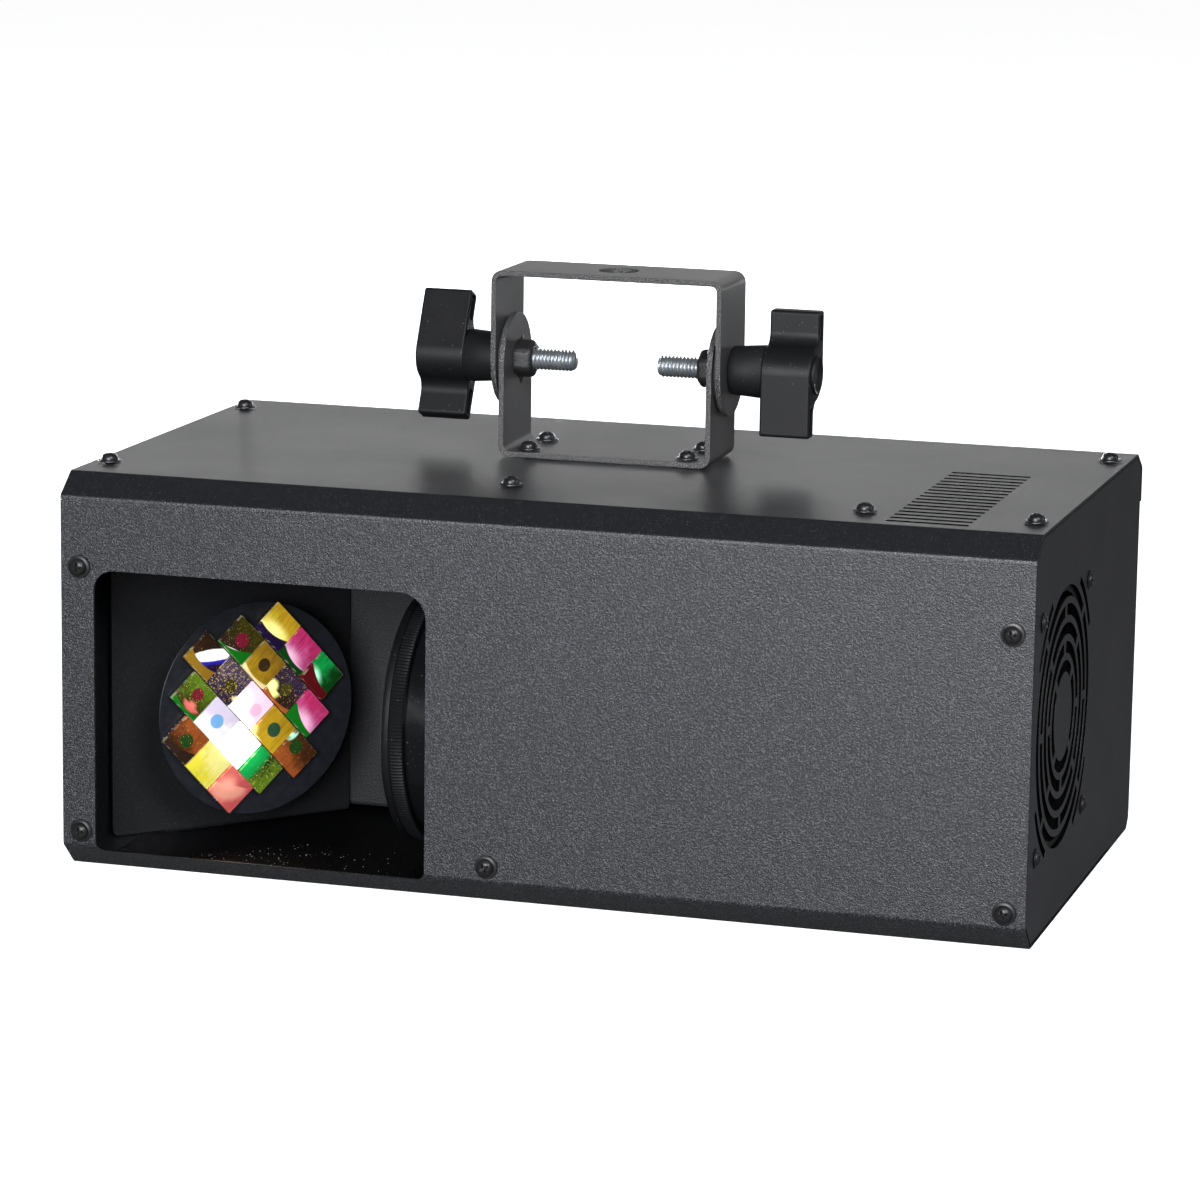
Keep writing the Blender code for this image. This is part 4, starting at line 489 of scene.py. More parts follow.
def moulded_plastic():
    """Satin plastic with a faint erosion texture and a few dust grains."""
    inputs = {"Plastic": (0.01, 0.01, 0.01, 1), "Dust": (0.3, 0.3, 0.3, 1), "Amount": 0.3, "Roughness": 0.4}
    group, give, take = effect_group("moulded_plastic", inputs, SURFACE)
    place = place_of(group)
    reach = upward(group) * 0.02 + give["Amount"] * 0.10
    dust = ramp(grain(place, 1500.0, 0.0), 0.82 - reach, 0.90 - reach)
    mixed(group, dust, give["Plastic"], give["Dust"]).into(take["Color"])
    bumped(grain(place, 2600.0), 0.00002, 0.6).into(take["Normal"])
    ((grain(place, 60.0, 3.0, 0.6) - 0.5) * 0.25 + give["Roughness"]).into(take["Roughness"])
    return group


def worked_metal():
    """Plated or blackened metal with fine tool lines and cloudy tone."""
    inputs = {"Metal": (0.5, 0.5, 0.5, 1), "Stain": (0.2, 0.2, 0.2, 1), "Stretch": (300.0, 300.0, 3000.0)}
    group, give, take = effect_group("worked_metal", inputs | {"Roughness": 0.3}, SURFACE)
    place = place_of(group)
    lines = grain(vector("MULTIPLY", place, give["Stretch"]), 1.0)
    clouds = grain(place, 260.0, 3.0, 0.6)
    mixed(group, ramp(clouds, 0.35, 0.75), give["Metal"], give["Stain"]).into(take["Color"])
    bumped(lines, 0.00001, 0.5).into(take["Normal"])
    ((lines - 0.5) * 0.3 + give["Roughness"]).into(take["Roughness"])
    return group


def settled_dust():
    """A mask of dust grains on faces that look up."""
    group, give, take = effect_group("settled_dust", {"Amount": 0.5, "Grain": 0.0008}, {"Mask": "Float"})
    place = place_of(group)
    reach = give["Amount"] * (grain(place, 45.0, 3.0, 0.7) * 0.3)
    mask = ramp(grain(place, 1.0 / give["Grain"], 1.0), 0.74 - reach, 0.78 - reach)
    mask.maths("MULTIPLY", mask, largest(upward(group), 0.0), clamp=True).into(take["Mask"])
    return group


def tile_face():
    """The film on a mirror tile: two tones, a bowed strip, a spot, flecks, a painted reflection (a glare with its
    fringe), a painted highlight on its cut edges, and a painted glow.
    """
    inputs = {name: (0.5, 0.5, 0.5, 1) for name in ("Film", "Far", "Strip", "Spot", "Glare", "Fringe")}
    inputs |= {name: (0.0, 0.0, 0.0) for name in ("Toward", "Spot place", "Glare place")}
    inputs |= {"Width": 0.013, "Strip share": 0.3, "Slant": 0.0, "Spot radius": 0.2, "Flecks": 0.3, "Glare reach": 0.3}
    inputs |= {"Stretch": 1.0, "Turn": 0.0, "Hardness": 0.1, "Glow": 1.0, "Seed": 0.0, "Streaks": 0.5}
    group, give, take = effect_group("tile_face", inputs, SURFACE | {"Emission": "Color"})

    def inside(distance, radius, hardness):
        """1 within a share of the radius, 0 beyond it."""
        return 1.0 - ramp(distance, radius * hardness, radius)

    def reach_of(gap):
        return vector("LENGTH", gap, (0, 0, 0), "Value")

    flat = vector("MULTIPLY", vector("SCALE", place_of(group), 1.0 / give["Width"]), (1, 1, 0))
    x, y, _ = parts_of(flat)
    here = vector("ADD", flat, wire(group, "ShaderNodeCombineXYZ", 0, {"Z": give["Seed"]}))
    streaks = grain(vector("MULTIPLY", here, (13, 1.5, 1)), 1.0, 3.0)
    soft = grain(here, 2.6, 3.0, 0.6)

    wave = soft * 0.9 + vector("DOT_PRODUCT", flat, give["Toward"], "Value")
    tone = mixed(group, ramp(wave, 0.2, 0.75), give["Film"], give["Far"])
    dark = mixed(group, 0.6, tone, BLACK)
    tone = mixed(group, ramp(streaks, 0.42, 0.72) * give["Streaks"], tone, dark)

    spot = inside(reach_of(vector("SUBTRACT", flat, give["Spot place"])), give["Spot radius"], 0.86)
    tone = mixed(group, spot, tone, mixed(group, soft * 0.1, give["Spot"], tone))
    limit = give["Flecks"] * -0.13 + 0.68
    flecks = ramp(grain(here, 19.0, 2.5, 0.8), limit, limit + 0.05) * ramp(give["Flecks"], 0.01, 0.1)
    tone = mixed(group, flecks * 0.8, tone, (0.80, 0.58, 0.14, 1))

    # Painted reflection: the glare is the lit lens mirrored in the tile, with a coloured fringe along one side
    gap = {"Vector": vector("SUBTRACT", flat, give["Glare place"]), "Angle": give["Turn"]}
    along, across, _ = parts_of(wire(group, "ShaderNodeVectorRotate", 0, gap, rotation_type="Z_AXIS", invert=True))
    slim = wire(group, "ShaderNodeCombineXYZ", 0, {"X": along / give["Stretch"], "Y": across})
    far = reach_of(slim) + (soft - 0.5) * (give["Glare reach"] * 0.25)
    glare = inside(far, give["Glare reach"], give["Hardness"])
    fringe = inside(far, give["Glare reach"] * 1.7, 0.6) * ramp(across, 0.0, -0.05)
    tone = mixed(group, glare, mixed(group, fringe, tone, give["Fringe"]), give["Glare"])

    edge = x * give["Slant"] + (x * x * 0.4 + (give["Strip share"] - 0.5))
    below = ramp(edge - y, -0.015, 0.015)
    tone = mixed(group, below, tone, give["Strip"])
    # Painted highlight: a pale gold line along parts of the tile's edges, where light would catch them
    rim = ramp(largest(abs(x), abs(y)), 0.484, 0.492) * ramp(grain(here, 4.0), 0.48, 0.62)
    tone = mixed(group, rim * 0.3, tone, (0.75, 0.68, 0.45, 1))

    tone.into(take["Color"])
    # Painted glow: the tile's colours are emitted, stronger in the glare
    lit = give["Glow"] * (glare * (1.0 - below) * 0.8 + 1.0)
    vector("SCALE", tone, lit).into(take["Emission"])
    (streaks * 0.12 + 0.04).into(take["Roughness"])
    bumped(soft + flecks * 0.3, 0.00012, 0.6).into(take["Normal"])
    return group


def effect(tree, make, inputs):
    """A node with the group that a function makes, which is built once."""
    group = bpy.data.node_groups.get(make.__name__) or make()
    return node(tree, "ShaderNodeGroup", inputs, node_tree=group)


def material(name, make, inputs, dust=None, **sockets):
    """A Principled material fed by one effect group, with its steady values on the shader's own sockets."""
    made = bpy.data.materials.get(name)
    if made:
        return made
    made = bpy.data.materials.new(name)
    made.use_nodes = True
    tree = made.node_tree
    shader = tree.nodes["Principled BSDF"].inputs
    finish = effect(tree, make, inputs).outputs
    tone = Wire(tree, finish["Color"])
    if dust:
        mask = Wire(tree, effect(tree, settled_dust, {"Amount": dust}).outputs["Mask"])
        tone = mixed(tree, mask, tone, (0.36, 0.34, 0.33, 1))
    tone.into(shader["Base Color"])
    tree.links.new(finish["Roughness"], shader["Roughness"])
    tree.links.new(finish["Normal"], shader["Normal"])
    if "Emission" in finish:
        tree.links.new(finish["Emission"], shader["Emission Color"])
    for key, value in sockets.items():
        shader[key.replace("_", " ")].default_value = value
    return made


def coat(name, paint, speck, width, relief, specks, rough, **more):
    inputs = {"Paint": paint, "Speck": speck, "Grain": width, "Relief": relief, "Specks": specks, "Roughness": rough}
    return material(name, powder_coat, inputs, **more)


def plastic(name, tone, dust, rough, grains=(0.3, 0.3, 0.3, 1), **sockets):
    inputs = {"Plastic": tone, "Dust": grains, "Amount": dust, "Roughness": rough}
    return material(name, moulded_plastic, inputs, **sockets)


def metal(name, tone, stain, rough, metallic=1.0, **sockets):
    inputs = {"Metal": tone, "Stain": stain, "Roughness": rough}
    return material(name, worked_metal, inputs, Metallic=metallic, **sockets)


def darker(tone, share):
    return (*(share * value for value in tone[:3]), 1)


def shell_paint(context, relief=COARSE[0], specks=COARSE[1], name="shell_powder"):
    look = context.scene.light_housing
    return coat(name, look.paint, look.speck, look.grain, relief, specks, 0.36)


def sheet_paint(context):
    """The same coat where it lies smoother, on the cover and the sides."""
    return shell_paint(context, *SMOOTH, "sheet_powder")


def shaded(made, name, shade, tone, dull=1.0):
    """A copy of a material with painted shade: its coat turns into a dark tone, without gloss, where a mask says so."""
    made = made.copy()
    made.name = name
    tree = made.node_tree
    shader = tree.nodes["Principled BSDF"].inputs
    mask = shade(tree)
    mixed(tree, mask, feeding(tree, shader["Base Color"]), tone).into(shader["Base Color"])
    largest(feeding(tree, shader["Roughness"]), mask * dull).into(shader["Roughness"])
    (mask * -0.45 + 0.5).into(shader["Specular IOR Level"])
    return made


def base_paint(context):
    """The shell's coat, darkened and dull inside the shell as painted shade."""
    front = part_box("base_shell")[0].y

    def inside(tree):
        _, y, z = parts_of(place_of(tree))
        back = y - front
        slope = back * (1 / BASE_CHAMFER[0]) + z * (1 / BASE_CHAMFER[1])
        behind = ramp(back, SHEET - 0.0004, SHEET + 0.0002) * ramp(slope, 1.05, 1.10)
        return behind * ramp(z, 0.0004, 0.0008) * ramp(y, INSIDE_REAR, INSIDE_REAR - 0.004)

    # Painted shade: inside the shell the coat turns to the chamber tone darkened further, with less gloss
    return shaded(shell_paint(context), "base_powder", inside, darker(context.scene.light_housing.chamber, 0.4), 0.5)


def cover_paint(context):
    """The cover's coat: black in the depth of the vent slots as painted shade, and coarse on the lip below its front
    chamfer.
    """
    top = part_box("top_cover")[1].z

    def slots(tree):
        x, y, z = parts_of(place_of(tree))
        deep = 1.0 - ramp(z, top - 0.00006, top - 0.00002)
        across = ramp(x, VENTS_X[0], VENTS_X[0] + 0.0005) * ramp(x, VENTS_X[1], VENTS_X[1] - 0.0005)
        return deep * across * ramp(y, VENTS_Y[0], VENTS_Y[0] + 0.0005) * ramp(y, VENTS_Y[1], VENTS_Y[1] - 0.005)

    # Painted shade: the walls of the vent slots turn near black and lose their gloss
    made = shaded(sheet_paint(context), "cover_powder", slots, (0.0004, 0.0004, 0.0005, 1))
    tree = made.node_tree
    foot = top - TOP_CHAMFER
    _, y, z = parts_of(place_of(tree))
    lip = ramp(z, foot + 0.0002, foot - 0.0002) * ramp(y, 0.0, -0.05)
    powder = next(item for item in tree.nodes if item.type == "GROUP")
    for key, smooth, coarse in zip(("Relief", "Specks"), SMOOTH, COARSE):
        (lip * (coarse - smooth) + smooth).into(powder.inputs[key])
    return made


def grille_paint(context):
    """The side panel's coat, black in the depth of the fan grille's slots as painted shade."""

    def slots(tree):
        place = place_of(tree)
        far = vector("DISTANCE", vector("MULTIPLY", place, (1, 1, 0)), (FAN_Y, FAN_Z, 0), "Value")
        deep = ramp(parts_of(place)[2], SHEET - 0.00004, SHEET - 0.0001)
        return deep * ramp(far, GRILLE_REACH, GRILLE_REACH - 0.0005)

    # Painted shade: the walls of the grille's slots turn near black and lose their gloss
    return shaded(sheet_paint(context), "grille_powder", slots, (0.0008, 0.0008, 0.0009, 1))


def chamber_paint(context):
    # Painted shade: the chamber's parts get a darker coat with dimmer painted glints
    look = context.scene.light_housing
    more = {"dust": 0.05, "Specular_IOR_Level": 0.4}
    return coat("chamber_powder_painted_shade", look.chamber, darker(look.speck, 0.35), look.grain, 0.00014, 0.4, 0.55, **more)


def bracket_paint(context):
    """The brackets' coat: fine on the strip's faces, darker on its cut edges, with coarse bright grains there that are
    painted glints.
    """
    look = context.scene.light_bracket
    made = coat("bracket_powder", look.paint, darker(look.sparkle, 0.3), 0.0006, 0.00004, 0.5, 0.40)
    tree = made.node_tree
    if "cut edge" in tree.nodes:
        return made
    shader = tree.nodes["Principled BSDF"].inputs
    cut = ramp(abs(parts_of(place_of(tree, "Normal"))[1]), 0.55, 0.9)
    # Painted glints: bright grains on a darker tone where the faces look along Y, the strip's cut edges
    bright = ramp(grain(place_of(tree), 2600.0, 1.5, 0.7), 0.50, 0.64)
    glinting_edge = mixed(tree, bright, darker(look.paint, 0.12), look.sparkle)
    mixed(tree, cut, feeding(tree, shader["Base Color"]), glinting_edge).into(shader["Base Color"])
    gloss = {0: cut, 2: feeding(tree, shader["Roughness"]), 3: 0.6}
    wire(tree, "ShaderNodeMix", 0, gloss, name="cut edge").into(shader["Roughness"])
    return made


def black_plastic(context, gloss):
    look = context.scene.light_knob
    name = f"black_plastic_{round(gloss * 100)}"
    return plastic(name, look.plastic, 0.1, gloss, (0.10, 0.10, 0.10, 1), Specular_IOR_Level=0.22)


def black_steel(context):
    tone = context.scene.light_screw.black
    return metal("black_screw_steel", tone, darker(tone, 2.2), 0.30, 0.0, Specular_IOR_Level=0.4)


# Shapes

def smooth_group():
    """Geometry nodes that shade a mesh smooth but keep its sharp edges."""
    name = "smooth_shading"
    if name in bpy.data.node_groups:
        return bpy.data.node_groups[name]
    tree = bpy.data.node_groups.new(name, "GeometryNodeTree")
    for side in ("INPUT", "OUTPUT"):
        tree.interface.new_socket("Geometry", in_out=side, socket_type="NodeSocketGeometry")
    start = Wire(tree, tree.nodes.new("NodeGroupInput").outputs[0])
    angle = wire(tree, "GeometryNodeInputMeshEdgeAngle", "Unsigned Angle")
    sharp = wire(tree, "FunctionNodeCompare", 0, {0: angle, 1: math.radians(SHARP)}, operation="GREATER_THAN")
    inputs = {"Geometry": start, "Shade Smooth": True}
    faces = wire(tree, "GeometryNodeSetShadeSmooth", 0, inputs, domain="FACE")
    inputs = {"Geometry": faces, "Selection": sharp, "Shade Smooth": False}
    edges = wire(tree, "GeometryNodeSetShadeSmooth", 0, inputs, domain="EDGE")
    edges.into(tree.nodes.new("NodeGroupOutput").inputs[0])
    return tree


def even_shading(obj):
    """Keeps large flat faces flat beside their rounded edges."""
    obj.modifiers.new("normals", "WEIGHTED_NORMAL").keep_sharp = True


def round_edges(obj, width, weld=True):
    """Modifiers that join an object's facets, round its edges and shade it smooth."""
    if weld:
        obj.modifiers.new("weld", "WELD").merge_threshold = 0.00001
        flat = obj.modifiers.new("flat faces", "DECIMATE")
        flat.decimate_type = "DISSOLVE"
        flat.angle_limit = math.radians(0.5)
    if width:
        bevel = obj.modifiers.new("edges", "BEVEL")
        bevel.width = width
        bevel.segments = 2
        bevel.limit_method = "ANGLE"
        bevel.angle_limit = math.radians(SHARP)
    obj.modifiers.new("smooth", "NODES").node_group = smooth_group()
    even_shading(obj)


def dress(look, width, *names):
    """Gives CAD nodes their rounded edges and their material."""
    for name in names:
        obj = nodes[name]
        round_edges(obj, width)
        for slot in obj.material_slots:
            slot.material = look


def stand_at(location, turn):
    return Matrix.Translation(location) @ Euler(turn).to_matrix().to_4x4()


def about_z(angle):
    return Matrix.Rotation(angle, 4, "Z")


def lifted(height):
    return Matrix.Translation((0, 0, height))


def piece(name, mesh, home, body, look, replaced=()):
    """A new piece at its place, riding on its body, with its material and the nodes that it stands for."""
    obj = helper(name, mesh)
    obj.matrix_world = home
    if not mesh.materials:
        mesh.materials.append(look)
    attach(obj, body)
    if replaced:
        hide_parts(*replaced)
    return obj


def helper(name, data):
    obj = bpy.data.objects.new(name, data)
    bpy.context.scene.collection.objects.link(obj)
    return obj


def to_mesh(name, bm, angle=SHARP):
    """A finished mesh, shaded smooth up to an angle."""
    bmesh.ops.recalc_face_normals(bm, faces=bm.faces)
    mesh = bpy.data.meshes.new(name)
    bm.to_mesh(mesh)
    bm.free()
    mesh.shade_smooth()
    mesh.set_sharp_from_angle(angle=math.radians(angle))
    return mesh


def fixed_mesh(obj):
    """The mesh that an object's modifiers or curve settings make; the object is removed."""
    mesh = bpy.data.meshes.new_from_object(obj.evaluated_get(bpy.context.evaluated_depsgraph_get()))
    bpy.data.objects.remove(obj)
    bm = bmesh.new()
    bm.from_mesh(mesh)
    bpy.data.meshes.remove(mesh)
    bmesh.ops.remove_doubles(bm, verts=bm.verts, dist=0.000001)
    return to_mesh("fixed", bm)


def block():
    """A cube with sides of 1 round its own origin."""
    bm = bmesh.new()
    bmesh.ops.create_cube(bm, size=1)
    return bm


def turned(name, profile, steps, ring=False, angle=SHARP):
    """A profile of (radius, height) points, turned about its own Z."""
    bm = bmesh.new()
    verts = [bm.verts.new((radius, 0, height)) for radius, height in profile]
    edges = [bm.edges.new(pair) for pair in zip(verts, verts[1:])]
    if ring:
        edges.append(bm.edges.new((verts[-1], verts[0])))
    bmesh.ops.spin(bm, geom=verts + edges, cent=(0, 0, 0), axis=(0, 0, 1), angle=math.tau, steps=steps, use_merge=True)
    bmesh.ops.remove_doubles(bm, verts=bm.verts, dist=0.000001)
    return to_mesh(name, bm, angle)


def polar(radius, angle, *height):
    return (radius * math.cos(angle), radius * math.sin(angle), *height)


def lofted(name, rows, joined=False, angle=50):
    """Closed rows of points with faces between them. The last row joins the first, or both ends get a face."""
    bm = bmesh.new()
    grid = [[bm.verts.new(point) for point in row] for row in rows]
    for k in range(0 if joined else 1, len(grid)):
        before, after = grid[k - 1], grid[k]
        for i in range(len(after)):
            bm.faces.new((before[i - 1], before[i], after[i], after[i - 1]))
    if not joined:
        for row in (grid[0], grid[-1]):
            bm.faces.new(row)
    return to_mesh(name, bm, angle)


def arc(centre, radius, start, sweep, steps):
    points = (polar(radius, start + sweep * i / steps) for i in range(steps + 1))
    return [(centre[0] + x, centre[1] + y) for x, y in points]


def circle(centre, radius, steps):
    return arc(centre, radius, 0, math.tau, steps)[:-1]


def rounded_corner(corner, before, after, radius, steps):
    """Points of the arc that rounds a corner between two neighbours."""
    corner, first, second = Vector(corner), Vector(before), Vector(after)
    first, second = (first - corner).normalized(), (second - corner).normalized()
    half = first.angle(second) / 2
    reach = radius / math.tan(half)
    middle = corner + (first + second).normalized() * radius / math.sin(half)
    spoke = corner + first * reach - middle
    turn = (math.pi - 2 * half) * (-1 if first.cross(second) > 0 else 1)
    return arc(middle, radius, math.atan2(spoke.y, spoke.x), turn, steps)


def rounded(points, radius, steps):
    path = []
    for i, point in enumerate(points):
        path += rounded_corner(point, points[i - 1], points[(i + 1) % len(points)], radius, steps)
    return path


def rectangle(left, right, bottom, top):
    return [(left, bottom), (right, bottom), (right, top), (left, top)]


def spin_points(points, angle):
    c, s = math.cos(angle), math.sin(angle)
    return [(x * c - y * s, x * s + y * c) for x, y in points]


def plate(name, loops, thickness, edge=0.0, resolution=1):
    """A flat sheet with z from 0 to its thickness and rounded edges: one outline, then its holes."""
    curve = bpy.data.curves.new(name, "CURVE")
    curve.dimensions = "2D"
    curve.fill_mode = "BOTH"
    curve.extrude = thickness / 2 - edge
    curve.bevel_depth = edge
    curve.bevel_resolution = resolution
    curve.offset = -edge
    for loop in loops:
        spline = curve.splines.new("POLY")
        spline.points.add(len(loop) - 1)
        for point, (x, y) in zip(spline.points, loop):
            point.co = (x, y, 0, 1)
        spline.use_cyclic_u = True
    mesh = fixed_mesh(helper(name, curve))
    mesh.transform(lifted(thickness / 2))
    return mesh


def cut_from(mesh, tools):
    """A mesh with other meshes cut away."""
    target = helper("target", mesh)
    cutters = [helper("cutter", tool) for tool in tools]
    for tool in cutters:
        boolean = target.modifiers.new("cut", "BOOLEAN")
        boolean.operation = "DIFFERENCE"
        boolean.object = tool
    made = fixed_mesh(target)
    for tool in cutters:
        bpy.data.objects.remove(tool)
    return made


# Pieces

class LIGHT_OT_housing(bpy.types.Operator):
    """Paints the folded sheets and rounds their edges"""

    bl_idname = "effect_light.housing"
    bl_label = "Housing sheets"

    def execute(self, context):
        edge = context.scene.light_housing.edge
        dress(base_paint(context), edge, "base_shell")
        dress(cover_paint(context), edge, "top_cover")
        low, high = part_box("top_cover")
        bm = block()
        bmesh.ops.scale(bm, vec=(high.x - low.x - 0.001, *HEM_SECTION), verts=bm.verts)
        seam = high.z - TOP_CHAMFER - COVER_LIP - CLEARANCE / 2
        seam = Vector(((low.x + high.x) / 2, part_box("base_shell")[0].y + HEM_BACK, seam))
        hem = to_mesh("cover_hem", bm)
        piece("cover_hem", hem, Matrix.Translation(seam), "housing", shell_paint(context))
        dress(sheet_paint(context), edge, "left_side_panel", "rear_panel")
        dress(chamber_paint(context), edge, "lens_wall", "heatsink_wall", "chamber_back_wall", "motor_plate")
        return {"FINISHED"}


def grille_slot(outer, inner, start, sweep, steps):
    """The outline of a slot between two arcs round the fan's axis."""
    centre = FAN_Y, FAN_Z
    return arc(centre, outer, start, sweep, steps) + arc(centre, inner, start + sweep, -sweep, steps)


class LIGHT_OT_grille(bpy.types.Operator):
    """Makes the right side panel with its fine fan grille"""

    bl_idname = "effect_light.grille"
    bl_label = "Fan grille"

    def execute(self, context):
        low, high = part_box("right_side_panel")
        front, rear = low.y, high.y
        base, top = low.z, high.z
        # Each corner is cut off by its own lengths along Y and Z
        outline = [
            (front + 0.0091, base), (rear - 0.0032, base), (rear, base + 0.0032), (rear, top - 0.0041),
            (rear - 0.0063, top), (front + 0.0092, top), (front, top - 0.0070), (front, base + 0.0084),
        ]
        loops = [outline]
        quarter = math.pi / 2
        for ring in range(GRILLE_RINGS):
            outer = GRILLE_RADIUS - ring * GRILLE_PITCH
            inner = outer - GRILLE_SLOT
            gap = GRILLE_BAR / inner
            for i in range(4):
                start = (quarter / 2 if ring % 2 == 0 else 0) + i * quarter + gap / 2
                loops.append(grille_slot(outer, inner, start, quarter - gap, 26))
        for i in range(4):
            start = quarter / 2 + i * quarter - GRILLE_OUTER_SWEEP / 2
            loops.append(grille_slot(*GRILLE_OUTER, start, GRILLE_OUTER_SWEEP, 12))
        half = FAN_SCREW_SPACING / 2
        for spot in rectangle(FAN_Y - half, FAN_Y + half, FAN_Z - half, FAN_Z + half):
            loops.append(circle(spot, 0.002, 16))

        home = stand_at((high.x - SHEET, 0, 0), FACE_RIGHT)
        face = plate("right_panel_face", loops, SHEET, 0.00008)
        face_piece = piece("right_panel_face", face, home, "housing", grille_paint(context))
        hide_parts("right_side_panel")
        even_shading(face_piece)

        # The flange runs back from the face's outline
        bm = bmesh.new()
        ring = [bm.verts.new((x, y, SHEET / 2)) for x, y in outline]
        edges = [bm.edges.new((ring[i - 1], ring[i])) for i in range(len(ring))]
        swept = bmesh.ops.extrude_edge_only(bm, edges=edges)["geom"]
        moved = [item for item in swept if isinstance(item, bmesh.types.BMVert)]
        bmesh.ops.translate(bm, vec=(0, 0, low.x - high.x + SHEET / 2), verts=moved)
        rim = to_mesh("right_panel_flange", bm)
        flange = piece("right_panel_flange", rim, home, "housing", sheet_paint(context))
        wall = flange.modifiers.new("thickness", "SOLIDIFY")
        wall.thickness = SHEET
        wall.offset = -1
        round_edges(flange, 0.0002, weld=False)
        return {"FINISHED"}


def quarter_turn(steps):
    """Angles from 0 to a right angle."""
    return [math.pi / 2 * i / steps for i in range(steps + 1)]


def screw_mesh(name, radius, height, context):
    """A pan head on its collar with a cross recess, seated at its own z = 0."""
    look = context.scene.light_screw
    collar = height / 5
    crown = 0.72 * radius
    dome = [(crown * math.sin(a) ** 0.65, collar + (height - collar) * math.cos(a) ** 0.8) for a in quarter_turn(10)]
    dome[-1] = (crown, collar + 0.0001)
    rim = [(0.76 * radius, collar), (0.97 * radius, collar * 0.9), (radius, collar * 0.6), (radius, 0.00005)]
    foot = [(0.97 * radius, 0), (0.0016, 0), (0.0016, -0.004), (0, -0.0045)]
    head = turned(name, dome + rim + foot, 44)
    depth = min(look.depth, height * 0.6)
    tools = []
    for turn in (0, math.pi / 2):
        bm = block()
        for vert in bm.verts:
            high = vert.co.z > 0
            reach, width, up = (1.25, 1.3, height + depth * 0.3) if high else (0.15, 0.75, height - depth)
            vert.co = Vector((vert.co.x * radius * reach, vert.co.y * look.recess * width, up))
        bmesh.ops.rotate(bm, cent=(0, 0, 0), matrix=Matrix.Rotation(turn + CROSS_TURN, 3, "Z"), verts=bm.verts)
        tools.append(to_mesh("recess", bm))
    return cut_from(head, tools)


class LIGHT_OT_screws(bpy.types.Operator):
    """Puts a cross-recessed pan head on every screw"""

    bl_idname = "effect_light.screws"
    bl_label = "Screws"

    def execute(self, context):
        tone = context.scene.light_screw.nickel
        nickel = metal("nickel_heads", tone, darker(tone, 0.5), 0.34, 0.0, Specular_IOR_Level=0.35)
        black = black_steel(context)
        groups = {
            "front_screw": (5, FACE_FRONT, PAN_HEAD, nickel, "dark_nickel"),
            "top_screw": (6, FACE_TOP, PAN_HEAD, black, "black_steel"),
            "bracket_screw": (4, FACE_TOP, PAN_HEAD, black, "black_steel"),
            "fan_screw": (4, FACE_RIGHT, FLAT_HEAD, black, "black_steel"),
        }
        for group, (count, turn, (radius, height), look, slot) in groups.items():
            head = screw_mesh(group + "_shape", radius, height, context)
            for i in range(count):
                name = f"{group}_{i + 1}"
                low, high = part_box(name)
                seat = (low + high) / 2
                if turn == FACE_FRONT:
                    seat.y = low.y + height
                elif turn == FACE_TOP:
                    seat.z = high.z - height
                else:
                    seat.x = high.x - height
                home = stand_at(seat, turn) @ about_z(1.7 * i + 0.4 * len(group))
                piece(name + "_head", head, home, "housing", look, (name,))

        small = screw_mesh("small_head", *SMALL_HEAD, context)
        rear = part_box("rear_panel")[1].y + 0.0002
        spots = [(x, rear, z) for x, z in REAR_SCREWS]
        for name, across, up in SOCKET_SCREWS:
            low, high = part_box(name)
            middle = (low + high) / 2
            spots += [(middle.x + side * across, high.y, middle.z + side * up) for side in (-1, 1)]
        for i, spot in enumerate(spots):
            home = stand_at(spot, FACE_REAR) @ about_z(0.9 * i)
            piece(f"rear_screw_{i + 1}", small, home, "housing", black)
        return {"FINISHED"}


def nut_mesh(flank, height):
    """A coated hexagon nut with blunt corners and a rounded end, its seat at z = 0."""
    angles = [math.tau * i / 96 for i in range(96)]
    sides = [flank / math.cos((angle + math.pi / 6) % (math.pi / 3) - math.pi / 6) for angle in angles]
    ends = (0, 0), (0, 0.0016), (0.0002, 0.0009), (0.0006, 0.0003), (0.0012, 0)
    rows = []
    for i, (inset, below) in enumerate(ends):
        z = height - below if i else 0
        rows.append([polar(min(side, flank * 1.07) - inset, angle, z) for side, angle in zip(sides, angles)])
    rows += [[polar(NUT_BORE, angle, z) for angle in angles] for z in (height, 0)]
    return lofted("weld_nut", rows, joined=True)


class LIGHT_OT_brackets(bpy.types.Operator):
    """Paints both brackets, the weld nuts with the spikes of their welds, and the friction washers"""

    bl_idname = "effect_light.brackets"
    bl_label = "Brackets"

    def execute(self, context):
        look = context.scene.light_bracket
        dress(bracket_paint(context), look.edge, "lower_bracket", "hanging_bracket")
        coated = coat("weld_nut_coat", darker(look.paint, 0.2), look.paint, 0.0008, 0.00018, 0.2, 0.5)
        fibre = plastic("washer_fibre", look.fibre, 0.0, 0.75)
        for side, facing in SIDES:
            dress(fibre, 0.00012, side + "_friction_washer")
            low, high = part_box(side + "_weld_nut")
            middle = (low + high) / 2
            flank = min(high.y - low.y, high.z - low.z) / 2
            seat, turn = (low.x, FACE_RIGHT) if facing < 0 else (high.x, FACE_LEFT)
            home = stand_at((seat, middle.y, middle.z), turn)
            nut = nut_mesh(flank, high.x - low.x)
            piece(side + "_weld_nut_body", nut, home, "housing", coated, (side + "_weld_nut",))
            for i, (back, up, reach) in enumerate(WELD_SPIKES):
                spike = [(0.0015, 0), (0.0008, 0.3 * reach), (0.00045, 0.6 * reach), (0.0002, reach), (0, reach)]
                root = seat - facing * 0.0011, middle.y + back, middle.z + up * flank
                home = stand_at(root, (0 if up > 0 else math.pi, 0, 0))
                name = f"{side}_weld_spike_{i + 1}"
                piece(name, turned("weld_spike", spike, 12), home, "housing", coated)
        return {"FINISHED"}


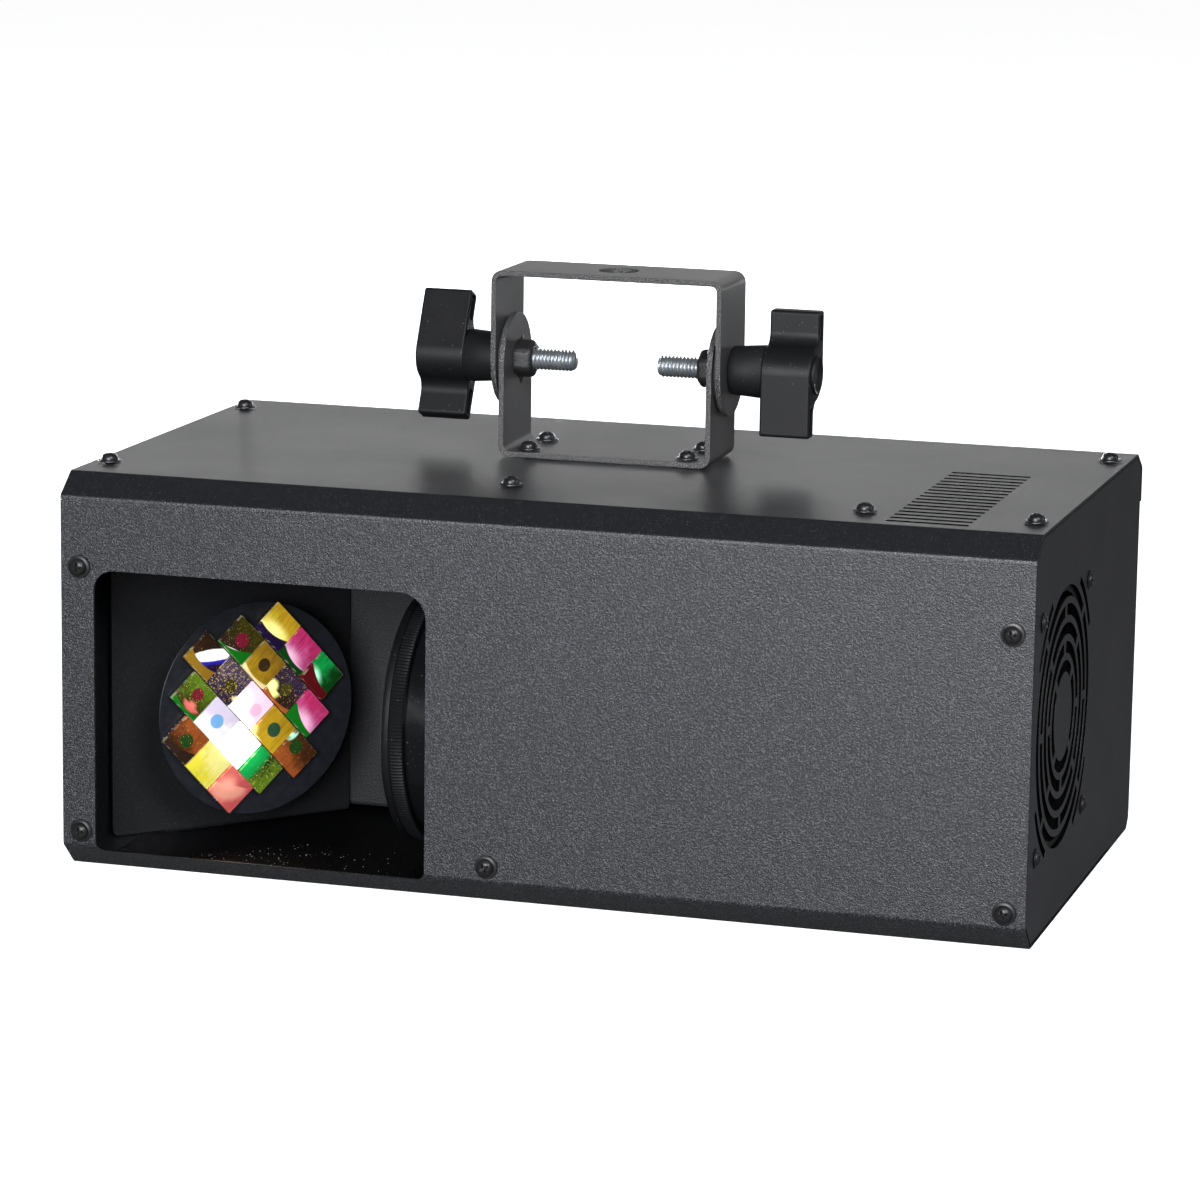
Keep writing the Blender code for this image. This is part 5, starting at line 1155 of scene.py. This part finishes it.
def thread_mesh(height, radius, pitch):
    """A threaded rod with z from 0, its chamfered tip, to its height."""
    around = 40
    count = round(height / pitch * 10)
    rows = []
    for j in range(count + 1):
        z = height * j / count
        row = []
        for i in range(around):
            phase = (z / pitch - i / around) % 1
            cut = min(1.0, max(0.0, (abs(phase - 0.5) * 2 - 0.12) / 0.70))
            r = min(radius - 0.6 * pitch * cut, radius - 0.0011 + z)
            row.append(polar(r, math.tau * i / around, z))
        rows.append(row)
    return lofted("stud", rows)


def knob_outline():
    """The two-winged section of a knob: each wing runs straight off one side of the boss."""
    inner = KNOB_BOSS - KNOB_WING
    fillet = 0.005
    centre_x = inner - fillet
    centre_y = math.sqrt((KNOB_BOSS + fillet) ** 2 - centre_x ** 2)
    touch = math.atan2(centre_y, centre_x)
    half = [(KNOB_BOSS, 0)]
    half += rounded_corner((KNOB_BOSS, KNOB_REACH), (KNOB_BOSS, 0), (inner, KNOB_REACH), 0.0013, 5)
    half += rounded_corner((inner, KNOB_REACH), (KNOB_BOSS, KNOB_REACH), (inner, 0), 0.0013, 5)
    half += arc((centre_x, centre_y), fillet, 0, touch - math.pi, 10)
    half += arc((0, 0), KNOB_BOSS, touch, math.pi - touch, 16)[1:-1]
    return half + [(-x, -y) for x, y in half]


class LIGHT_OT_knobs(bpy.types.Operator):
    """Makes the wing knobs with their cored hollows, and the threaded studs"""

    bl_idname = "effect_light.knobs"
    bl_label = "Knobs and studs"

    def execute(self, context):
        look = context.scene.light_knob
        satin, dull = black_plastic(context, 0.46), black_plastic(context, 0.62)
        zinc = metal("zinc_plate", look.zinc, darker(look.zinc, 0.8), 0.32, 0.85)
        inner = KNOB_BOSS - KNOB_WING
        pocket = rounded(rectangle(inner + 0.0014, KNOB_BOSS - 0.0014, 0.0115, 0.021), 0.0008, 3)
        for side, facing in SIDES:
            body, turn = side + "_knob", FACE_RIGHT if facing > 0 else FACE_LEFT
            low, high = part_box(side + "_knob")
            axis = sum(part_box(side + "_stud"), Vector()) / 2
            base = low.x if facing > 0 else high.x
            reach = high.x - low.x - 0.0008
            thickness = reach - HUB_LENGTH
            lean = KNOB_LEANS[side]

            tools = []
            for half in (0, math.pi):
                for lift in (look.pocket - POCKET_TOOL, thickness - look.pocket):
                    tools.append(plate("pocket", [spin_points(pocket, lean + half)], POCKET_TOOL))
                    tools[-1].transform(lifted(lift))
            wings = cut_from(plate("wings", [spin_points(knob_outline(), lean)], thickness, look.edge, 3), tools)
            home = stand_at((base, axis.y, axis.z), turn)
            wings_at = home @ lifted(HUB_LENGTH)
            even_shading(piece(side + "_knob_wings", wings, wings_at, body, satin, (side + "_knob",)))

            hub = [(0.0043, 0.013), (0.0043, 0.0002), (0.0086, 0), (0.0089, 0.0003), (0.0091, 0.003)]
            neck = (0.0098, -0.0006), (0.0095, -0.0003), (0.0095, 0.0004), (0.0098, 0.0009)
            neck += (0.0098, 0.003), (0.0043, 0.003)
            hub += [(radius, HUB_LENGTH + rise) for radius, rise in neck]
            hub = turned("hub", hub, 72, ring=True, angle=50)
            piece(side + "_knob_hub", hub, home, body, dull)
            cap = (0, 0.0003), (0.0058, 0.0003), (0.0062, 0.0007), (0.0070, 0.0008), (0.00725, 0.0005)
            cap += (0.00725, -0.0002), (0.0078, -0.0004), (0.0078, -0.004), (0, -0.004)
            cap = turned("cap", [(radius, reach + rise) for radius, rise in cap], 64, angle=50)
            piece(side + "_knob_cap", cap, home, body, satin)

            low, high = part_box(side + "_stud")
            tip = low.x if facing > 0 else high.x
            rod = thread_mesh(high.x - low.x, (high.z - low.z) / 2, look.pitch)
            home = stand_at((tip, axis.y, axis.z), turn)
            piece(side + "_stud_thread", rod, home, body, zinc, (side + "_stud",))
        return {"FINISHED"}


class LIGHT_OT_lens(bpy.types.Operator):
    """Makes the ribbed lens ring, the barrel and the glass, and dresses the light source"""

    bl_idname = "effect_light.lens"
    bl_label = "Lens and light source"

    def execute(self, context):
        look = context.scene.light_lens
        low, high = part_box("lens_ring")
        centre = (low + high) / 2
        radius = high.z - centre.z
        depth = high.x - low.x
        home = stand_at((low.x, centre.y, centre.z), FACE_LEFT)
        smooth = [(0.0400, -0.0013), (0.0400, -0.0003), (0.0403, 0), (radius - 0.0022, 0), (radius - 0.0008, -0.0004)]
        smooth += [(radius - 0.0001, -0.0013), (radius, -0.0024), (radius, -0.0034), (radius - 0.0005, -0.0037)]
        ribbed = [(radius, -0.0040), (radius, -depth + 0.0004), (radius - 0.0004, -depth)]
        back = [(0.0433, -depth), (0.0433, -0.0013)]
        steps = look.ribs * 4
        rows = []
        for i in range(steps):
            angle = math.tau * i / steps
            sink = look.rib * (0.0, 0.5, 1.0, 0.5)[i % 4]
            profile = smooth + [(r - sink, z) for r, z in ribbed] + back
            rows.append([polar(r, angle, z) for r, z in profile])
        ring = lofted("lens_grip_ring", rows, True, 40)
        grip = black_plastic(context, 0.42)
        piece("lens_grip_ring", ring, home, "focus_ring", grip, ("lens_ring",))

        low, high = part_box("lens_barrel")
        start, tail = low.x - centre.x + depth / 2, high.x - centre.x + depth / 2
        barrel = [(0.0400, -start), (0.0427, -start), (0.0430, -start - 0.0003)]
        barrel += [(radius, rise - BARREL_FLANGE) for radius, rise in FLANGE_PROFILE]
        barrel += [(0.0430, -tail), (0.0400, -tail)]
        tube = turned("lens_tube", barrel, 144, ring=True)
        piece("lens_tube", tube, home, "housing", black_plastic(context, 0.16), ("lens_barrel",))

        glass = plastic("lens_glass", look.tint, 0.0, 0.05, look.tint, Transmission_Weight=1.0, IOR=1.5)
        crown = [(0.0397 * math.sin(a), -0.0016 + 0.009 * math.cos(a)) for a in quarter_turn(14)]
        edge = [(0.0427, -0.0016), (0.0427, -0.0046), (0, -0.0046)]
        lens = turned("lens_crown", crown + edge, 96, angle=30)
        piece("lens_crown", lens, home, "housing", glass, ("lens_glass",))

        bare = metal("bare_aluminium", look.metal, darker(look.metal, 0.7), 0.38)
        dress(bare, 0.0003, "led_heatsink", "led_module", "power_supply")
        return {"FINISHED"}


DISC_HOME = stand_at(DISC_CENTRE, FACE_DISC)


class LIGHT_OT_disc(bpy.types.Operator):
    """Makes the turning disc and its drive"""

    bl_idname = "effect_light.disc"
    bl_label = "Turning disc"

    def execute(self, context):
        tone = context.scene.light_disc.disc
        r = DISC_RADIUS
        profile = [(0, 0), (r - 0.0002, 0), (r, -0.0002), (r, -0.0006), (r - 0.0004, -0.0010), (r - 0.0034, -0.0030)]
        profile += [(0.0095, -0.0030), (0.0090, -0.0035), (0.0090, -0.0108), (0.0088, -0.0110)]
        profile += [(0.0028, -0.0110), (0.0028, -0.0050), (0, -0.0050)]
        disc = turned("turning_disc", profile, 180, angle=30)
        anodised = metal("anodised_disc", tone, darker(tone, 1.5), 0.38, 0.0, Specular_IOR_Level=0.25)
        piece("turning_disc", disc, DISC_HOME, "disc", anodised, ("effect_disc",))
        dress(black_steel(context), 0.0005, "disc_motor")
        dress(metal("shaft_steel", context.scene.light_knob.zinc, (0.3, 0.3, 0.3, 1), 0.25), 0.0, "motor_shaft")
        return {"FINISHED"}


class LIGHT_OT_tiles(bpy.types.Operator):
    """Makes the mirror tiles, each leaning its own way with its own film"""

    bl_idname = "effect_light.tiles"
    bl_label = "Mirror tiles"

    def execute(self, context):
        look = context.scene.light_disc
        grid = DISC_HOME @ Matrix.Translation((*TILE_SHIFT, CLEARANCE)) @ about_z(TILE_TURN)
        right, left = [], []
        for row, (count, slip) in enumerate(zip(TILE_ROWS, TILE_SLIPS)):
            top = (len(TILE_ROWS) / 2 - row) * TILE_PITCH
            half = count * TILE_PITCH / 2
            right += [(slip + half, top), (slip + half, top - TILE_PITCH)]
            left += [(slip - half, top), (slip - half, top - TILE_PITCH)]
        outline = [(x * 0.985, y * 0.985) for x, y in right + left[::-1]]
        bed = plate("tile_bed", [outline], TILE_BED)
        bed_look = plastic("tile_bed", (0.006, 0.006, 0.007, 1), 0.9, 0.5)
        piece("tile_bed", bed, grid, "disc", bed_look, ("tile_mosaic",))

        spread, wobble = math.tan(TILE_SPREAD), math.tan(TILE_WOBBLE)
        reach = max(TILE_ROWS) * TILE_PITCH / 2
        last = len(TILE_ROWS) - 1
        places = []
        for row, (count, slip) in enumerate(zip(TILE_ROWS, TILE_SLIPS)):
            across = (last / 2 - row) * TILE_PITCH + (TILE_LAST_RISE if row == last else 0)
            places += [((i - (count - 1) / 2) * TILE_PITCH + slip, across) for i in range(count)]
        for number, (along, across) in enumerate(places):
            lean_x, lean_y = polar(wobble, number * 2.4)
            lean_x -= spread * along / reach
            lean_y -= spread * across / reach
            bm = block()
            for vert in bm.verts:
                x, y = vert.co.x * look.tile, vert.co.y * look.tile
                rise = TILE_HEIGHT + lean_x * x + lean_y * y if vert.co.z > 0 else TILE_BED - 0.0001
                vert.co = Vector((x, y, rise))
            bmesh.ops.bevel(bm, geom=bm.edges[:], offset=look.edge, segments=2, affect="EDGES", profile=0.5)
            mesh = to_mesh(f"tile_{number + 1}", bm)
            home = grid @ Matrix.Translation((along, across, 0))
            piece(f"mirror_tile_{number + 1}", mesh, home, "disc", tile_film(context, number))
        return {"FINISHED"}


def tile_film(context, number):
    """The material of one tile."""
    look, tile = context.scene.light_disc, TILE_LOOKS[number]
    inputs = {"Width": look.tile, "Seed": 3.7 * number, "Turn": math.radians(tile.get("turn", 0))}
    films = dict.fromkeys(("far", "strip", "spot", "glare"), tile["film"]) | tile
    films["fringe"] = tile.get("fringe", films["glare"])
    for key in ("film", "far", "strip", "spot", "glare", "fringe"):
        inputs[key.capitalize()] = (*FILMS[films[key]], 1)
    for label, (key, plain) in TILE_PLACES.items():
        inputs[label] = (*tile.get(key, plain), 0.0)
    for label, (key, plain) in TILE_MEASURES.items():
        inputs[label] = tile.get(key, plain)
    if "spot" not in tile:
        inputs["Spot radius"] = 0.0001
    # The tile's emission is a painted glow
    return material(f"tile_film_{number + 1}", tile_face, inputs, Metallic=0.6, Emission_Strength=look.glow)


class LIGHT_OT_fan(bpy.types.Operator):
    """Dresses the fan behind the grille"""

    bl_idname = "effect_light.fan"
    bl_label = "Fan"

    def execute(self, context):
        dress(black_plastic(context, 0.5), 0.0004, "fan_frame")
        dress(black_plastic(context, 0.3), 0.0, "fan_rotor")
        return {"FINISHED"}


class LIGHT_OT_rear(bpy.types.Operator):
    """Dresses the display, the buttons, the sockets and the control board"""

    bl_idname = "effect_light.rear"
    bl_label = "Rear fittings"

    def execute(self, context):
        dress(black_plastic(context, 0.5), 0.0002, "power_inlet", "fuse_holder", "dmx_in", "dmx_out")
        dress(black_plastic(context, 0.3), 0.0003, *(f"menu_button_{i + 1}" for i in range(4)))
        window = plastic("display_window", (0.010, 0.004, 0.005, 1), 0.1, 0.12, Coat_Weight=0.5)
        dress(window, 0.0002, "display_window")
        green, light_green = (0.012, 0.09, 0.035, 1), (0.02, 0.14, 0.05, 1)
        dress(metal("solder_resist", green, light_green, 0.4, 0.0), 0.0, "control_board")
        return {"FINISHED"}


class LIGHT_OT_dust(bpy.types.Operator):
    """Scatters a few bright crumbs on the chamber's floor"""

    bl_idname = "effect_light.dust"
    bl_label = "Chamber dust"

    def execute(self, context):
        scatter = random.Random(7)
        floor = SHEET + 0.00005
        bm = bmesh.new()
        for _ in range(CRUMB_TRIES):
            x = scatter.gauss(*CRUMB_X)
            y = scatter.uniform(*CRUMB_Y)
            behind_plate = y > PLATE_FOOT[1] + (x - PLATE_FOOT[0]) * PLATE_SLOPE
            if behind_plate or not CHAMBER_X[0] < x < CHAMBER_X[1]:
                continue
            size = scatter.choice(CRUMB_SIZES)
            made = bmesh.ops.create_icosphere(bm, subdivisions=1, radius=size)["verts"]
            for vert in made:
                vert.co.z *= 0.5
            bmesh.ops.rotate(bm, cent=(0, 0, 0), matrix=Matrix.Rotation(scatter.uniform(0, 6), 3, "Z"), verts=made)
            bmesh.ops.translate(bm, vec=(x, y, floor + size * 0.4), verts=made)
        look = plastic("chamber_crumbs", (0.16, 0.15, 0.14, 1), 1.0, 0.6, (0.30, 0.22, 0.18, 1))
        piece("chamber_crumbs", to_mesh("chamber_crumbs", bm), Matrix.Identity(4), "housing", look)
        return {"FINISHED"}


def area_light(name, location, target, size, power, tone):
    lamp = bpy.data.lights.new(name, "AREA")
    lamp.shape = "RECTANGLE"
    lamp.size, lamp.size_y = size
    lamp.energy = power
    lamp.color = tone
    obj = helper(name, lamp)
    obj.location = location
    obj.rotation_euler = (Vector(target) - Vector(location)).to_track_quat("-Z", "Y").to_euler()


def pale_floor(look):
    """A floor that the camera sees bright and the black paint mirrors as grey."""
    made = bpy.data.materials.new("pale_floor")
    made.use_nodes = True
    tree = made.node_tree
    shader = tree.nodes["Principled BSDF"].inputs
    seen = wire(tree, "ShaderNodeLightPath", "Is Camera Ray")
    tone = mixed(tree, grain(place_of(tree), 3.0), look.floor, darker(look.floor, 0.985))
    mixed(tree, seen, (look.mirrored,) * 3 + (1,), tone).into(shader["Base Color"])
    mixed(tree, seen, BLACK, tone).into(shader["Emission Color"])
    for key, value in (("Emission Strength", look.glow), ("Roughness", 0.9), ("Specular IOR Level", 0.0)):
        shader[key].default_value = value
    return made


class LIGHT_OT_stage(bpy.types.Operator):
    """Sets the floor, the soft light and the camera"""

    bl_idname = "effect_light.stage"
    bl_label = "Floor, light and camera"

    def execute(self, context):
        look = context.scene.light_stage
        bm = bmesh.new()
        bmesh.ops.create_grid(bm, x_segments=8, y_segments=8, size=14)
        floor = helper("floor", to_mesh("floor", bm))
        floor.location = (0, 4, -0.0002)
        floor.data.materials.append(pale_floor(look))

        world = bpy.data.worlds.new("soft_room")
        world.use_nodes = True
        sky = world.node_tree.nodes["Background"].inputs
        sky["Color"].default_value = (1, 1, 1, 1)
        seen = wire(world.node_tree, "ShaderNodeLightPath", "Is Camera Ray")
        (seen * (1.0 - look.world) + look.world).into(sky["Strength"])
        context.scene.world = world
        context.scene.view_settings.view_transform = "Standard"
        for name, (location, target, size, setting, share, tone) in SOFTBOXES.items():
            area_light(name, location, target, size, getattr(look, setting) * share, tone)

        camera = helper("camera", bpy.data.cameras.new("camera"))
        camera.data.lens = look.focal
        camera.data.sensor_width = 36
        right = Vector((*polar(1, CAMERA_AZIMUTH), 0))
        ahead = Vector((math.sin(CAMERA_AZIMUTH), -math.cos(CAMERA_AZIMUTH), 0))
        back = ahead * math.cos(CAMERA_ELEVATION) + Vector((0, 0, math.sin(CAMERA_ELEVATION)))
        up = back.cross(right)
        c, s = polar(1, CAMERA_ROLL)
        turn = Matrix((right * c + up * s, up * c - right * s, back)).transposed().to_4x4()
        camera.matrix_world = Matrix.Translation(CAMERA_PLACE) @ turn
        context.scene.camera = camera
        return {"FINISHED"}


OPERATORS = (
    LIGHT_OT_housing, LIGHT_OT_grille, LIGHT_OT_screws, LIGHT_OT_brackets, LIGHT_OT_knobs, LIGHT_OT_lens,
    LIGHT_OT_disc, LIGHT_OT_tiles, LIGHT_OT_fan, LIGHT_OT_rear, LIGHT_OT_dust, LIGHT_OT_stage,
)


class LIGHT_PT_panel(bpy.types.Panel):
    """Settings and steps of the effect light"""

    bl_idname = "LIGHT_PT_panel"
    bl_label = "LED effect light"
    bl_space_type = "VIEW_3D"
    bl_region_type = "UI"
    bl_category = "Effect Light"

    def draw(self, context):
        for name, group in SETTINGS.items():
            box = self.layout.box()
            for key in group.__annotations__:
                box.prop(getattr(context.scene, name), key)
        for operator in OPERATORS:
            self.layout.operator(operator.bl_idname)


def register():
    for group in SETTINGS.values():
        bpy.utils.register_class(group)
    for name, group in SETTINGS.items():
        setattr(bpy.types.Scene, name, bpy.props.PointerProperty(type=group))
    for operator in (*OPERATORS, LIGHT_PT_panel):
        bpy.utils.register_class(operator)


def unregister():
    for operator in reversed((*OPERATORS, LIGHT_PT_panel)):
        bpy.utils.unregister_class(operator)
    for name, group in SETTINGS.items():
        delattr(bpy.types.Scene, name)
        bpy.utils.unregister_class(group)


def main():
    register()
    for operator in OPERATORS:
        family, step = operator.bl_idname.split(".")
        getattr(getattr(bpy.ops, family), step)()


if __name__ == "__main__":
    main()
